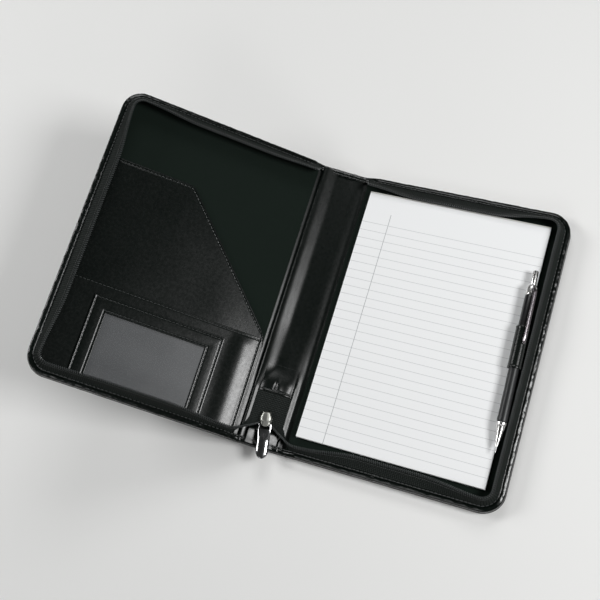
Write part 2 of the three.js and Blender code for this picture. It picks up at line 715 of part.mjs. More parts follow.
// The spine and the front cover run away from the back cover, so their X is turned to the left.
const frontCover = new THREE.Group();
frontCover.add(coverShell('front', FRONT_LEAN), frontPockets());
frontCover.position.z = -HINGE_Z;
const frontFold = new THREE.Group();
frontFold.add(frontCover);
frontFold.position.x = SPINE_W;
frontFold.rotation.y = -FRONT_RISE;

const sliderGroup = slider();
sliderGroup.position.y = -NECK_Y;
const sliderSeat = new THREE.Group();
sliderSeat.add(sliderGroup);
sliderSeat.position.set(SPINE_W / 2, SLIDER_Y + NECK_Y, 0);
sliderSeat.rotation.z = -SLIDER_YAW;
const spine = new THREE.Group();
spine.add(spineParts(), zipTail(), sliderSeat);
spine.position.z = -HINGE_Z;

const spineFold = new THREE.Group();
spineFold.add(spine, frontFold);
spineFold.scale.x = -1;
spineFold.rotation.y = SPINE_RISE;
spineFold.position.set(-COVER_W / 2, 0, HINGE_Z);

const portfolioCase = new THREE.Group();
portfolioCase.add(backCover, pencil, loop, spineFold);

export default portfolioCase;
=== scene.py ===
# The looks of a zip-round portfolio case: leather, cloth, zipper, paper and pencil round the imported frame.
# Lengths in this script are in millimetres until a mesh is made, and points on a cover are (d, y, n): out
# from its hinge line, along it, and up from its outer face. A d below zero runs on over the spine.
import json
import math

import bmesh
import bpy
import numpy as np
from mathutils import Matrix, Vector, noise


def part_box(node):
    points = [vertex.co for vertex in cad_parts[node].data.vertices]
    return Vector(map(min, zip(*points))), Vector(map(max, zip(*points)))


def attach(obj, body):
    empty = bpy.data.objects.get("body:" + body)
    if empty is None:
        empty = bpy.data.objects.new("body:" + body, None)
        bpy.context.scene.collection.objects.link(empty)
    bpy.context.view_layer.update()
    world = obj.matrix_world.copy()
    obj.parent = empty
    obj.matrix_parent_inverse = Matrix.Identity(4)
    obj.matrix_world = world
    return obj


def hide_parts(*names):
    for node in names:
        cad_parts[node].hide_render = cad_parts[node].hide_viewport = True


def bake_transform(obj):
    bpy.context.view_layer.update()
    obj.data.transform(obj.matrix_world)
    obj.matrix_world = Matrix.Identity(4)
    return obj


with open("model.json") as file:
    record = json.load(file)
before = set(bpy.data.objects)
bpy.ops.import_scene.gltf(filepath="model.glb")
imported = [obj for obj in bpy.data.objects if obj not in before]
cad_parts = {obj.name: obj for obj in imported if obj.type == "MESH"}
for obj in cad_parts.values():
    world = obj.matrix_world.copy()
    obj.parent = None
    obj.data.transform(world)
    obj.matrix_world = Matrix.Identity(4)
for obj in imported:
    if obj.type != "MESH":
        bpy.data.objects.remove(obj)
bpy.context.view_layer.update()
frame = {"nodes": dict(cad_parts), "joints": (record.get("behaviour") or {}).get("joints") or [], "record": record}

MM = 0.001

# ---- sizes, from the frame ----

JOINTS = {joint["name"]: joint for joint in frame["joints"]}
MOUNTS = {mount["name"]: mount for mount in frame["record"]["mounts"]}


def node_box(name):
    return [np.array(corner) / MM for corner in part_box(name)]


def node_points(name):
    return np.array([vertex.co for vertex in frame["nodes"][name].data.vertices]) / MM


BACK_HINGE = np.array(JOINTS["spine_fold"]["pos_m"]) / MM
FRONT_HINGE = np.array(JOINTS["front_cover_fold"]["pos_m"]) / MM
SPINE_W = float(np.linalg.norm(FRONT_HINGE - BACK_HINGE))
HINGE_N = float(BACK_HINGE[2])
COVER_W = float(node_box("back_outer_skin")[1][0] - BACK_HINGE[0])
HALF = float(node_box("back_outer_skin")[1][1])
LIP_TOP = float(node_box("back_gusset")[1][2])
LINING_N = float(node_box("back_lining")[1][2])
PANEL_N = float(node_box("pad_pocket")[1][2])
PANEL_INSET = COVER_W - float(node_box("pad_pocket")[1][0] - BACK_HINGE[0])
MID_SPINE = -SPINE_W / 2
CORNER_R = 17
SKIN = 0.9  # the outer leather's thickness
LEATHER_THICK = 0.7  # every leather sheet inside the case
BEND = 5  # the soft hinge bends over this far on either side of its line
Y_AXIS = np.array([0.0, 1.0, 0.0])
Z_AXIS = np.array([0.0, 0.0, 1.0])

TAIL_FOOT, TAIL_TOP = (float(corner[1]) for corner in node_box("zip_tail_tape"))
FLAP_EDGE = float(node_box("zip_tail_flap")[0][1])


# ---- small maths ----

def smooth(x):
    x = np.clip(x, 0, 1)
    return x * x * (3 - 2 * x)


def bump(x, centre, width):
    return np.exp(-((x - centre) / width) ** 2)


def unit(v):
    return v / np.linalg.norm(v, axis=-1, keepdims=True)


def field(points, sizes, seed):
    """Smooth noise from about -1 to 1 at each point. sizes is how long a feature is along each axis."""
    scaled = points / np.array(sizes, float) + seed
    flat = [noise.noise(Vector(p)) for p in scaled.reshape(-1, 3)]
    return np.array(flat).reshape(scaled.shape[:-1])


def waves(d, y, along_d, along_y, seed):
    """Smooth noise over a sheet, whose features are along_d by along_y."""
    return field(np.stack([d, y, 0 * d], axis=-1), (along_d, along_y, 1), seed)


def every_pair(a, b):
    return np.meshgrid(a, b, indexing="ij")


def lengths(line):
    """How far each point of a line is from its start."""
    return np.concatenate([[0], np.cumsum(np.linalg.norm(np.diff(line, axis=0), axis=1))])


def resample(line, step):
    """A line's points and their places along it, about a step apart. Columns after the third go with them."""
    along = lengths(line)
    places = np.linspace(0, along[-1], max(2, round(along[-1] / step) + 1))
    return np.stack([np.interp(places, along, column) for column in line.T], axis=1), places


EDGE_MARGIN = 4.0  # a sheet's points are close together this far in from its edges


def spread(start, stop, coarse, fine=0.45, margin=EDGE_MARGIN):
    """Places from start to stop, close together near both ends."""
    near = np.arange(0, margin, fine)
    inside = np.linspace(margin, (stop - start) - margin, max(2, round((stop - start - 2 * margin) / coarse)))
    return start + np.concatenate([near, inside, (stop - start) - near[::-1]])


class Side:
    """A cover and the half of the spine next to it, as one strip bent at the hinge line."""

    def __init__(self, body, hinge, out, spine_out):
        self.body = body
        self.hinge = hinge
        self.angles = math.atan2(out[2], out[0]), math.atan2(spine_out[2], spine_out[0])
        self.turn = 1 if out[0] > 0 else -1

    def place(self, d, y, n):
        d, y, n = np.broadcast_arrays(np.asarray(d, float), y, n)
        over_spine = smooth((BEND - d) / (2 * BEND))
        angle = self.angles[0] + over_spine * (self.angles[1] - self.angles[0])
        rise = (n - HINGE_N) * self.turn
        x = self.hinge[0] + d * np.cos(angle) - rise * np.sin(angle)
        z = self.hinge[2] + d * np.sin(angle) + rise * np.cos(angle)
        return np.stack([x, y, z], axis=-1)

    def up(self, d, y, n):
        return unit(self.place(d, y, n + 1) - self.place(d, y, n))

    def bend(self, obj):
        start = self.place(BEND, 0, HINGE_N) * MM
        end = self.place(-BEND, 0, HINGE_N) * MM
        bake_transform(obj)


SPINE_ALONG = (FRONT_HINGE - BACK_HINGE) / SPINE_W
FRONT_UP = -np.array(MOUNTS["front_cover_face"]["axis"])
FRONT_OUT = np.array([-FRONT_UP[2], 0, FRONT_UP[0]])
BACK = Side("back_cover", BACK_HINGE, np.array([1.0, 0, 0]), -SPINE_ALONG)
FRONT = Side("front_cover", FRONT_HINGE, FRONT_OUT, SPINE_ALONG)
SIDES = {"back": BACK, "front": FRONT}
SPINE_UP = np.array([SPINE_ALONG[2], 0, -SPINE_ALONG[0]])


def spine_place(a, y, n):
    """A point on the spine, a from the back hinge line."""
    a, y, n = np.broadcast_arrays(np.asarray(a, float), y, n)
    return (BACK_HINGE + a[..., None] * SPINE_ALONG + y[..., None] * Y_AXIS
            + (n - HINGE_N)[..., None] * SPINE_UP)


# The slider hangs a little askew. Its own points are (x, v, n): across, and along from the pull's bar.
PULL_BAR = np.array(JOINTS["pull_swing"]["pos_m"]) / MM
PULL_YAW = math.asin(JOINTS["pull_swing"]["axis"][1])
PULL_A = float((PULL_BAR - BACK_HINGE) @ SPINE_ALONG)
PULL_N = float((PULL_BAR - BACK_HINGE) @ SPINE_UP) + HINGE_N


def slider_place(x, v, n):
    a = PULL_A + x * math.cos(PULL_YAW) - v * math.sin(PULL_YAW)
    y = PULL_BAR[1] + x * math.sin(PULL_YAW) + v * math.cos(PULL_YAW)
    return spine_place(a, y, n)


# ---- meshes ----

def add_object(name, data):
    obj = bpy.data.objects.new(name, data)
    bpy.context.scene.collection.objects.link(obj)
    return obj


def make(name, points, faces, material, sharp=40.0, weave=None):
    """An object from points in millimetres and closed faces, turned outwards."""
    mesh = bpy.data.meshes.new(name)
    mesh.from_pydata((points * MM).tolist(), [], faces)
    work = bmesh.new()
    work.from_mesh(mesh)
    bmesh.ops.recalc_face_normals(work, faces=work.faces)
    work.to_mesh(mesh)
    work.free()
    mesh.materials.append(material)
    mesh.shade_smooth()
    mesh.set_sharp_from_angle(angle=math.radians(sharp))
    if weave is not None:
        attribute = mesh.attributes.new("weave", "FLOAT_VECTOR", "POINT")
        attribute.data.foreach_set("vector", (weave * MM).astype(np.float32).ravel())
    return add_object(name, mesh)


def grid_quads(rows, cols, wrap_rows=False, wrap_cols=False, keep=None):
    quads = []
    for i in range(rows if wrap_rows else rows - 1):
        for j in range(cols if wrap_cols else cols - 1):
            if keep is None or keep[i][j]:
                k, m = (i + 1) % rows, (j + 1) % cols
                quads.append((i * cols + j, k * cols + j, k * cols + m, i * cols + m))
    return quads


def closed_sheet(top, bottom, wrap_rows=False, keep=None):
    """Points and faces of a sheet between two grids, with its edges closed."""
    rows, cols = top.shape[:2]
    quads = grid_quads(rows, cols, wrap_rows=wrap_rows, keep=keep)
    edges = set()
    for quad in quads:
        for a, b in zip(quad, quad[1:] + quad[:1]):
            if (b, a) in edges:
                edges.remove((b, a))
            else:
                edges.add((a, b))
    shift = rows * cols
    faces = list(quads)
    faces += [tuple(shift + v for v in reversed(quad)) for quad in quads]
    faces += [(b, a, shift + a, shift + b) for a, b in sorted(edges)]
    used = sorted({v for face in faces for v in face})
    renumber = {v: i for i, v in enumerate(used)}
    points = np.concatenate([top.reshape(-1, 3), bottom.reshape(-1, 3)])[used]
    return points, [tuple(renumber[v] for v in face) for face in faces]


def grid_normals(top, wrap_rows=False):
    if wrap_rows:
        along = np.roll(top, -1, axis=0) - np.roll(top, 1, axis=0)
    else:
        along = np.gradient(top, axis=0)
    return unit(np.cross(along, np.gradient(top, axis=1)))


def slab(name, top, thickness, up, material, wrap_rows=False, **options):
    """A sheet whose upper side is the grid top. up is a rough direction away from its underside."""
    normals = grid_normals(top, wrap_rows)
    if (normals @ up).mean() < 0:
        normals = -normals
    points, faces = closed_sheet(top, top - normals * thickness, wrap_rows)
    return make(name, points, faces, material, **options)


def tube_faces(rows, cols):
    """The faces of a tube of rings, capped at both ends."""
    last = (rows - 1) * cols
    caps = [tuple(range(cols)), tuple(last + j for j in reversed(range(cols)))]
    return grid_quads(rows, cols, wrap_cols=True) + caps


def sweep(name, rings, material, closed=False, **options):
    """A solid through rings of points, shape (rings, points in a ring, 3)."""
    rows, cols = rings.shape[:2]
    faces = grid_quads(rows, cols, True, True) if closed else tube_faces(rows, cols)
    return make(name, rings.reshape(-1, 3), faces, material, **options)


def tubes(name, runs, radius, material, sides=6):
    """One object of many short tubes. runs is a list of (points, 3) centre lines."""
    points, faces = [], []
    ring = np.linspace(0, 2 * math.pi, sides, endpoint=False)
    off_line = np.array([0.3, 0.2, 0.93])  # no run of stitches or teeth lies along this
    end_share = 0.45
    for line in runs:
        ahead = unit(np.gradient(line, axis=0))
        across = unit(np.cross(ahead, off_line))
        over = np.cross(across, ahead)
        ends = np.ones(len(line))
        ends[[0, -1]] = end_share
        tube = line[:, None] + radius * ends[:, None, None] * (
            np.cos(ring)[None, :, None] * across[:, None] + np.sin(ring)[None, :, None] * over[:, None])
        base = sum(len(p) for p in points)
        faces += [tuple(base + v for v in face) for face in tube_faces(len(line), sides)]
        points.append(tube.reshape(-1, 3))
    return make(name, np.concatenate(points), faces, material)


def stitches(name, path, ups, pitch=3.2, length=2.3, radius=0.29):
    """A row of sewn stitches along a path on a surface, each dipping into it at both ends."""
    per_pitch, rise, sunk = 8, 0.36, 0.16
    both, _ = resample(np.concatenate([path, ups], axis=1), pitch / per_pitch)
    line, up = both[:, :3], both[:, 3:]
    each = round(length / pitch * per_pitch) + 1
    arch = np.sin(np.linspace(0, math.pi, each))[:, None] * rise - sunk
    runs = [line[i:i + each] + up[i:i + each] * arch for i in range(0, len(line) - each, per_pitch)]
    return tubes(name, runs, radius, THREAD)


def bevel(obj, width, segments=3):
    modifier = obj.modifiers.new("edges", "BEVEL")
    modifier.width = width * MM
    modifier.segments = segments
    modifier.limit_method = "ANGLE"
    modifier.angle_limit = math.radians(50)


def name_slot(nodes):
    if nodes:
        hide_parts(*nodes)


def on_body(obj, body, slot, *nodes):
    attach(obj, body)
    name_slot(nodes)


def on_hinge(obj, side, slot, *nodes):
    side.bend(obj)
    name_slot(nodes)


def finish_node(name, material, edge=0.0):
    """A CAD node that stays as it is, with a better material and its edges eased."""
    node = frame["nodes"][name]
    node.data.materials.clear()
    node.data.materials.append(material)
    if edge:
        bevel(node, edge, 2)


def sew(name, path, up, body, **options):
    """A row of stitches in a piece of leather that faces up."""
    row = stitches(name, path, np.repeat(up[None], len(path), axis=0), **options)
    on_body(row, body, "inner_leather")


# ---- materials ----

class Shade:
    """A Principled material, with helpers for the textures that feed it."""

    def __init__(self, name, colour, roughness, **inputs):
        self.material = bpy.data.materials.new(name)
        self.material.use_nodes = True
        self.nodes = self.material.node_tree.nodes
        self.links = self.material.node_tree.links
        self.shader = self.nodes["Principled BSDF"]
        self.shader.inputs["Base Color"].default_value = (*colour, 1)
        self.shader.inputs["Roughness"].default_value = roughness
        for key, value in inputs.items():
            self.shader.inputs[key.replace("_", " ")].default_value = value
        self.place = self.nodes.new("ShaderNodeTexCoord").outputs["Object"]
        self.height = None

    def use_weave(self):
        node = self.nodes.new("ShaderNodeAttribute")
        node.attribute_name = "weave"
        self.place = node.outputs["Vector"]

    def texture(self, kind, per_metre, stretch=(1, 1, 1)):
        """A texture node over the material's place, which is stretched along its axes."""
        mapping = self.nodes.new("ShaderNodeMapping")
        mapping.inputs["Scale"].default_value = stretch
        self.links.new(self.place, mapping.inputs["Vector"])
        node = self.nodes.new(kind)
        node.inputs["Scale"].default_value = per_metre
        self.links.new(mapping.outputs["Vector"], node.inputs["Vector"])
        return node

    def noise(self, per_metre, detail=3.0, stretch=(1, 1, 1)):
        node = self.texture("ShaderNodeTexNoise", per_metre, stretch)
        node.inputs["Detail"].default_value = detail
        return node.outputs["Fac"]

    def ribs(self, per_metre, direction):
        node = self.texture("ShaderNodeTexWave", per_metre)
        node.bands_direction = direction
        return node.outputs["Fac"]

    def math(self, operation, a, b=None, c=None):
        node = self.nodes.new("ShaderNodeMath")
        node.operation = operation
        for socket, value in zip(node.inputs, (a, b, c)):
            if isinstance(value, bpy.types.NodeSocket):
                self.links.new(value, socket)
            elif value is not None:
                socket.default_value = value
        return node.outputs[0]

    def colour(self, factor, low, high):
        """Colours the surface from low, where factor is 0, to high, where it is 1."""
        node = self.nodes.new("ShaderNodeValToRGB")
        node.color_ramp.elements[0].color = (*low, 1)
        node.color_ramp.elements[1].color = (*high, 1)
        self.links.new(factor, node.inputs["Fac"])
        self.links.new(node.outputs["Color"], self.shader.inputs["Base Color"])

    def rough(self, factor, low, high):
        value = self.math("MULTIPLY_ADD", factor, high - low, low)
        self.links.new(value, self.shader.inputs["Roughness"])

    def relief(self, height, depth_mm):
        """Adds a bump. Later ones sit on earlier ones."""
        node = self.nodes.new("ShaderNodeBump")
        node.inputs["Distance"].default_value = depth_mm * MM
        self.links.new(height, node.inputs["Height"])
        if self.height is not None:
            self.links.new(self.height, node.inputs["Normal"])
        self.height = node.outputs["Normal"]
        self.links.new(self.height, self.shader.inputs["Normal"])


def leather(name, roughness, wrinkle, grain):
    """Coated leather. wrinkle and grain are the depths of its two sizes of bump, in millimetres."""
    shade = Shade(name, (0.002, 0.004, 0.003), roughness, Specular_IOR_Level=0.42)
    shade.colour(shade.noise(35, 4), (0.001, 0.0025, 0.0018), (0.003, 0.005, 0.004))
    shade.rough(shade.noise(450, 4), roughness - 0.07, roughness + 0.08)
    shade.relief(shade.noise(300, 2, (1, 0.35, 1)), wrinkle)
    shade.relief(shade.noise(1100, 2), grain)
    return shade.material


def times(colour, factor):
    return tuple(channel * factor for channel in colour)


def cloth(name, colour, depth):
    shade = Shade(name, colour, 0.92, Sheen_Weight=0.03, Sheen_Roughness=0.5, Specular_IOR_Level=0.12)
    threads = shade.math("MULTIPLY", shade.ribs(700, "X"), shade.ribs(700, "Y"))
    shade.colour(shade.math("MULTIPLY_ADD", threads, 0.6, 0.0), colour, times(colour, 1.9))
    shade.relief(shade.noise(220, 5), 0.12)
    shade.relief(threads, depth)
    return shade.material


def woven_tape():
    shade = Shade("zip_tape_weave", (0.004, 0.006, 0.005), 0.7, Specular_IOR_Level=0.2)
    shade.use_weave()
    rows = shade.ribs(210, "X")
    cords = shade.ribs(260, "Y")
    fuzz = shade.noise(900, 3)
    herring = shade.math("MULTIPLY", shade.math("MULTIPLY", rows, cords), fuzz)
    shade.colour(herring, (0.001, 0.003, 0.002), (0.062, 0.070, 0.066))
    shade.relief(cords, 0.14)
    shade.relief(rows, 0.20)
    return shade.material


def metal(name, colour, roughness, scratch, stretch=(1, 1, 1)):
    shade = Shade(name, colour, roughness, Metallic=1.0)
    marks = shade.noise(900, 6, stretch)
    shade.rough(marks, roughness - 0.04, roughness + 0.14)
    shade.colour(shade.noise(140, 4), times(colour, 0.78), colour)
    shade.relief(marks, scratch)
    return shade.material


def plastic(name, colour, roughness, depth):
    shade = Shade(name, colour, roughness)
    shade.rough(shade.noise(300, 5), roughness - 0.05, roughness + 0.1)
    shade.relief(shade.noise(1800, 3), depth)
    return shade.material


def board_grey(name, colour):
    shade = Shade(name, colour, 0.95)
    shade.colour(shade.noise(500, 6), times(colour, 0.7), times(colour, 1.2))
    shade.relief(shade.noise(900, 5), 0.08)
    return shade.material


def page_edges():
    shade = Shade("pad_page_edges", (0.86, 0.87, 0.87), 0.9)
    leaves = shade.noise(420, 4, (0.02, 0.02, 14))
    shade.colour(leaves, (0.62, 0.63, 0.63), (0.94, 0.95, 0.95))
    shade.relief(leaves, 0.06)
    return shade.material


def ruled_paper(low, high):
    """White paper with a ruled page below an open heading, and one upright margin line.

    low and high are the sheet's corners."""
    pitch, first_line, last_line, line_half = 7.04, 25.75, 25, 0.030
    margin, margin_top, margin_half = 22.0, 16.0, 0.26
    line_ink = 0.62
    shade = Shade("ruled_paper", (0.85, 0.86, 0.86), 0.85)
    parts = shade.nodes.new("ShaderNodeSeparateXYZ")
    shade.links.new(shade.place, parts.inputs[0])
    x, y = parts.outputs["X"], parts.outputs["Y"]
    calc = shade.math
    down = calc("MULTIPLY_ADD", y, -1 / (pitch * MM), (high[1] - first_line) / pitch)
    from_line = calc("ABSOLUTE", calc("SUBTRACT", down, calc("ROUND", down)))
    line = calc("LESS_THAN", from_line, line_half)
    line = calc("MULTIPLY", line, calc("GREATER_THAN", down, -0.5))
    line = calc("MULTIPLY", line, calc("LESS_THAN", down, last_line + 0.5))
    across = calc("ABSOLUTE", calc("SUBTRACT", x, (low[0] + margin) * MM))
    upright = calc("MULTIPLY", calc("LESS_THAN", across, margin_half * MM),
                   calc("LESS_THAN", y, (high[1] - margin_top) * MM))
    ink = calc("MAXIMUM", calc("MULTIPLY", line, line_ink), upright)
    shade.colour(ink, (0.84, 0.85, 0.855), (0.40, 0.41, 0.42))
    shade.relief(shade.noise(1400, 4), 0.015)
    return shade.material


def clear_vinyl():
    shade = Shade("window_vinyl", (0.13, 0.135, 0.135), 0.34, Alpha=0.62, IOR=1.52)
    # The film's hazy grey is its own; the broad lighter and darker patches over it are a painted reflection of the
    # lamps.
    shade.colour(shade.noise(11, 3), (0.085, 0.09, 0.095), (0.18, 0.185, 0.19))
    shade.rough(shade.noise(45, 3), 0.28, 0.46)
    shade.relief(shade.noise(28, 2), 0.25)
    return shade.material


LEATHER_RIM = leather("rim_leather", 0.22, 0.24, 0.04)
LEATHER_SPINE = leather("spine_leather", 0.30, 0.02, 0.016)
LEATHER_OUTER = leather("outer_leather", 0.36, 0.06, 0.02)
LEATHER_POCKET = leather("pocket_leather", 0.26, 0.02, 0.024)
LINING = cloth("lining_cloth", (0.006, 0.0105, 0.008), 0.05)
TAPE = woven_tape()
# The coil's grey is partly its own and partly a painted glint: it is lighter than the black leather to stand in
# for light off the teeth.
TEETH = plastic("zip_teeth", (0.050, 0.055, 0.055), 0.34, 0.01)
# The thread's grey is partly its own and partly a painted glint: it is lighter than the leather to stand in for
# light off the round thread.
THREAD = plastic("sewing_thread", (0.050, 0.054, 0.053), 0.28, 0.02)
NICKEL = metal("worn_nickel", (0.45, 0.455, 0.42), 0.36, 0.03, (1, 0.15, 1))
PULL_CHROME = metal("pull_chrome", (0.62, 0.62, 0.63), 0.11, 0.004)
CHROME = metal("pencil_chrome", (0.86, 0.85, 0.84), 0.20, 0.004)
# The clip is the pencil's chrome, painted darker and pinkish: a painted dark reflection where the lamps would make
# it bright.
CLIP_CHROME_PAINTED_SHADE = metal("clip_chrome_painted_reflection", (0.34, 0.31, 0.33), 0.20, 0.004)
STEEL = metal("drawn_steel", (0.45, 0.45, 0.46), 0.30, 0.02)
BLACK_PLASTIC = plastic("barrel_plastic", (0.011, 0.011, 0.012), 0.20, 0.004)
GRIP_RUBBER = plastic("grip_rubber", (0.009, 0.010, 0.011), 0.40, 0.02)
ERASER = plastic("eraser_vinyl", (0.75, 0.74, 0.70), 0.8, 0.05)
GUM = plastic("padding_gum", (0.70, 0.70, 0.66), 0.55, 0.08)
GREYBOARD = board_grey("greyboard", (0.18, 0.17, 0.15))
PAD_CARD = board_grey("pad_card", (0.25, 0.22, 0.17))
PAGES = page_edges()
VINYL = clear_vinyl()


# ---- covers: outer leather and linings ----

def half_height(d, inset):
    """Half the length of a cover's outline at d, inset from its free edges."""
    r = CORNER_R - inset
    past = np.clip(d - (COVER_W - CORNER_R), 0, r)
    return HALF - inset - r + np.sqrt(r * r - past * past)


def from_outline(d, y, inset):
    """How far a point is in from a cover's outline, itself set in by inset."""
    return np.minimum(half_height(d, inset) - abs(y), COVER_W - inset - d)


PANEL_LENGTH = 240  # about a panel's length, which sets how many points a row has


def panel(d, inset, height, top=None, coarse=3.0):
    """A grid of (d, y, n). Each row runs from the cover's outline at the foot to top(d) or the outline."""
    low = -half_height(d, inset)
    high = top(d) if top else half_height(d, inset)
    share = spread(0, 1000, coarse=1000 * coarse / PANEL_LENGTH)
    near = np.sum(share < EDGE_MARGIN)
    y = np.empty((len(d), len(share)))
    for i, (lowest, highest) in enumerate(zip(low, high)):
        margin = min(EDGE_MARGIN, (highest - lowest) / 4)
        y[i, :near] = lowest + share[:near] * margin / EDGE_MARGIN
        y[i, -near:] = highest - share[:near][::-1] * margin / EDGE_MARGIN
        y[i, near:-near] = np.linspace(lowest + margin, highest - margin, len(share) - 2 * near)
    dd = np.repeat(d[:, None], len(share), axis=1)
    return dd, y, height(dd, y)


def corner_rows(start, inset, coarse=3.0):
    """Places along d from start to the outer edge, closer together round the corner."""
    r = CORNER_R - inset
    centre = COVER_W - CORNER_R
    straight = spread(start, centre, coarse)
    turn = centre + r * np.sin(np.linspace(0, math.pi / 2, 15)[1:])
    return np.concatenate([straight, turn])


def outer_leather(label, side):
    top = side.place(*panel(corner_rows(MID_SPINE, 0), 0, lambda d, y: SKIN + 0 * d))
    piece = slab(f"{label}_outer_leather", top, SKIN, side.up(COVER_W / 2, 0, 0), LEATHER_OUTER)
    nodes = [f"{label}_outer_skin"] + (["spine_outer_skin"] if label == "back" else [])
    on_hinge(piece, side, "outer_leather", *nodes)


def lining_cloth(label, side, level, node):
    """The cloth panel inside a cover. It dips at its sewn edges and is a little slack between them."""
    start, inset, thickness = 3.2, 1.7, 0.6
    sewn_width, slack_width = 4.5, 12

    def height(d, y):
        edge = from_outline(d, y, inset)
        dip = (level - LINING_N + 0.2) * (1 - smooth(edge / sewn_width))
        slack = 0.16 * waves(d, y, 34, 47, seed=2.3)
        return level - dip + slack * smooth(edge / slack_width)

    top = side.place(*panel(corner_rows(start, inset), inset, height))
    piece = slab(f"{label}_panel_cloth", top, thickness, side.up(COVER_W / 2, 0, 0), LINING)
    on_body(piece, side.body, "lining_cloth", node)


# ---- the rim: wall, welt and double lip, carried on across the spine as its hem ----

def rim_path(step, foot_start, head_end):
    """Stations round a cover: (d, y, inward d, inward y, part, from the part's start, to its end)."""
    rows = []
    straight = COVER_W - CORNER_R
    reach = HALF - CORNER_R

    def line(start, stop, inward, part):
        length = math.dist(start, stop)
        for t in np.linspace(0, 1, round(length / step), endpoint=part == "head"):
            at = [a + (b - a) * t for a, b in zip(start, stop)]
            rows.append((*at, *inward, part, t * length, (1 - t) * length))

    def corner(centre_y, start_angle):
        for angle in np.arange(0, math.pi / 2, step / CORNER_R):
            out = math.cos(start_angle + angle), math.sin(start_angle + angle)
            at = straight + CORNER_R * out[0], centre_y + CORNER_R * out[1]
            rows.append((*at, -out[0], -out[1], "corner", 0, 0))

    line((foot_start, -HALF), (straight, -HALF), (0, 1), "foot")
    corner(-reach, -math.pi / 2)
    line((COVER_W, -reach), (COVER_W, reach), (-1, 0), "outer")
    corner(reach, 0)
    line((straight, HALF), (head_end, HALF), (0, -1), "head")
    return rows


# (inward, up): the welt at the foot, the wall, the outer ridge, the groove, the sewn inner ridge, the inside.
RIM_PROFILE = np.array([
    (0.8, 0.95), (0.2, 0.45), (-0.35, 0.75), (-0.5, 1.3), (-0.3, 1.9), (0.1, 2.3), (-0.1, 3.6), (-0.2, 5.2),
    (-0.1, 6.9), (0.1, 7.8), (0.5, 8.25), (1.1, 8.52), (1.7, 8.78), (2.25, 9.0), (2.65, 9.05), (2.95, 8.8),
    (3.2, 8.55), (3.5, 8.8), (3.9, 9.2), (4.35, 9.3), (4.75, 9.05), (5.05, 8.5), (4.9, 8.05), (4.2, 7.8),
    (2.6, 7.75), (1.5, 7.2), (1.25, 6.0), (1.25, 3.0), (1.2, 1.3),
])
RIM_SEAM = np.array([(4.2, 9.25)])
LIP_SCALE = LIP_TOP / RIM_PROFILE[:, 1].max()
HEM_TOP = 4.9  # the rim's height where it crosses the spine
CRINKLE_FROM = 2.5  # the leather is more crinkled above this height


def rim_drop(d):
    """How much of the rim's height is left at d: all of it on the cover, and a hem's height on the spine."""
    left = (HEM_TOP - SKIN) / (LIP_TOP - SKIN)
    start, length = -4, 18
    return left + (1 - left) * smooth((d - start) / length)


def rim_points(rows, profile):
    d, y, in_d, in_y = (np.array([row[k] for row in rows])[:, None] for k in range(4))
    inward, up = profile[:, 0], profile[:, 1] * LIP_SCALE
    up = SKIN + (up - SKIN) * rim_drop(d)
    return d + in_d * inward, y + in_y * inward, np.broadcast_to(up, np.broadcast_shapes(d.shape, up.shape))


def rim(label, side):
    rows = rim_path(0.8, MID_SPINE, MID_SPINE)
    rings = side.place(*rim_points(rows, RIM_PROFILE))
    outwards = unit(rings - rings.mean(axis=1, keepdims=True))
    crinkle = 0.22 * field(rings, (4.5, 4.5, 3.0), 7.1) + 0.14 * field(rings, (2.0, 2.0, 2.0), 3.7)
    upper = smooth((RIM_PROFILE[:, 1] - CRINKLE_FROM) / 3)
    rings = rings + outwards * (crinkle * (0.3 + 0.7 * upper))[..., None]
    piece = sweep(f"{label}_rim", rings, LEATHER_RIM)
    nodes = [f"{label}_gusset", f"spine_hem_{'top' if label == 'back' else 'bottom'}"]
    on_hinge(piece, side, "rim_leather", *nodes)

    path = side.place(*rim_points(rows, RIM_SEAM))[:, 0]
    ups = side.up(np.array([row[0] for row in rows]), 0, LIP_TOP)
    on_hinge(stitches(f"{label}_rim_stitches", path, ups), side, "rim_leather")


# ---- the zipper: two tapes, each from the sewn-down tail, past the slider and round a cover ----

TAPE_THICK = 0.55
TAPE_REACH = 9.5  # the free part's length, past the bend
TAPE_START = 12.5  # where each tape reaches its cover's rim, from the hinge line
TAPE_ROOT = (1.9, 7.4)  # (inward, up), as in the rim's profile
TAPE_BEND = (4.8, 7.35)
TAIL_SELVEDGE = -5.3  # the tail's outer edge, from the hinge line
TAIL_BEND = 3.6  # from the selvedge to the crease that lifts the teeth
TAIL_HEIGHTS = (3.7, 6.7, 6.35)  # of its selvedge, bend and free edge
COIL_PITCH = 1.6
TAPE_END = {"back": 3.6, "front": 3.4}  # where each runs out at the head, from the hinge line
# Leans are in degrees from upright, and a straight's own lean is reached LEAN_RAMP along it.
LEANS = {
    "back": {"foot": 60, "outer": 26, "head": 57},
    "front": {"foot": 34, "outer": 48, "head": 42},
}
LEAN_CORNER = 26
LEAN_SPINE_END = 32
LEAN_RAMP = 48


def lean_at(label, row):
    """The tape's lean from upright, in radians: it lies down along a straight and stands up at a corner."""
    part, from_start, to_end = row[4:]
    if part == "corner":
        return math.radians(LEAN_CORNER)
    at_start = LEAN_SPINE_END if part == "foot" else LEAN_CORNER
    at_end = LEAN_SPINE_END if part == "head" else LEAN_CORNER
    edge = at_start if from_start < to_end else at_end
    share = smooth(min(from_start, to_end) / LEAN_RAMP)
    return math.radians(edge + (LEANS[label][part] - edge) * share)


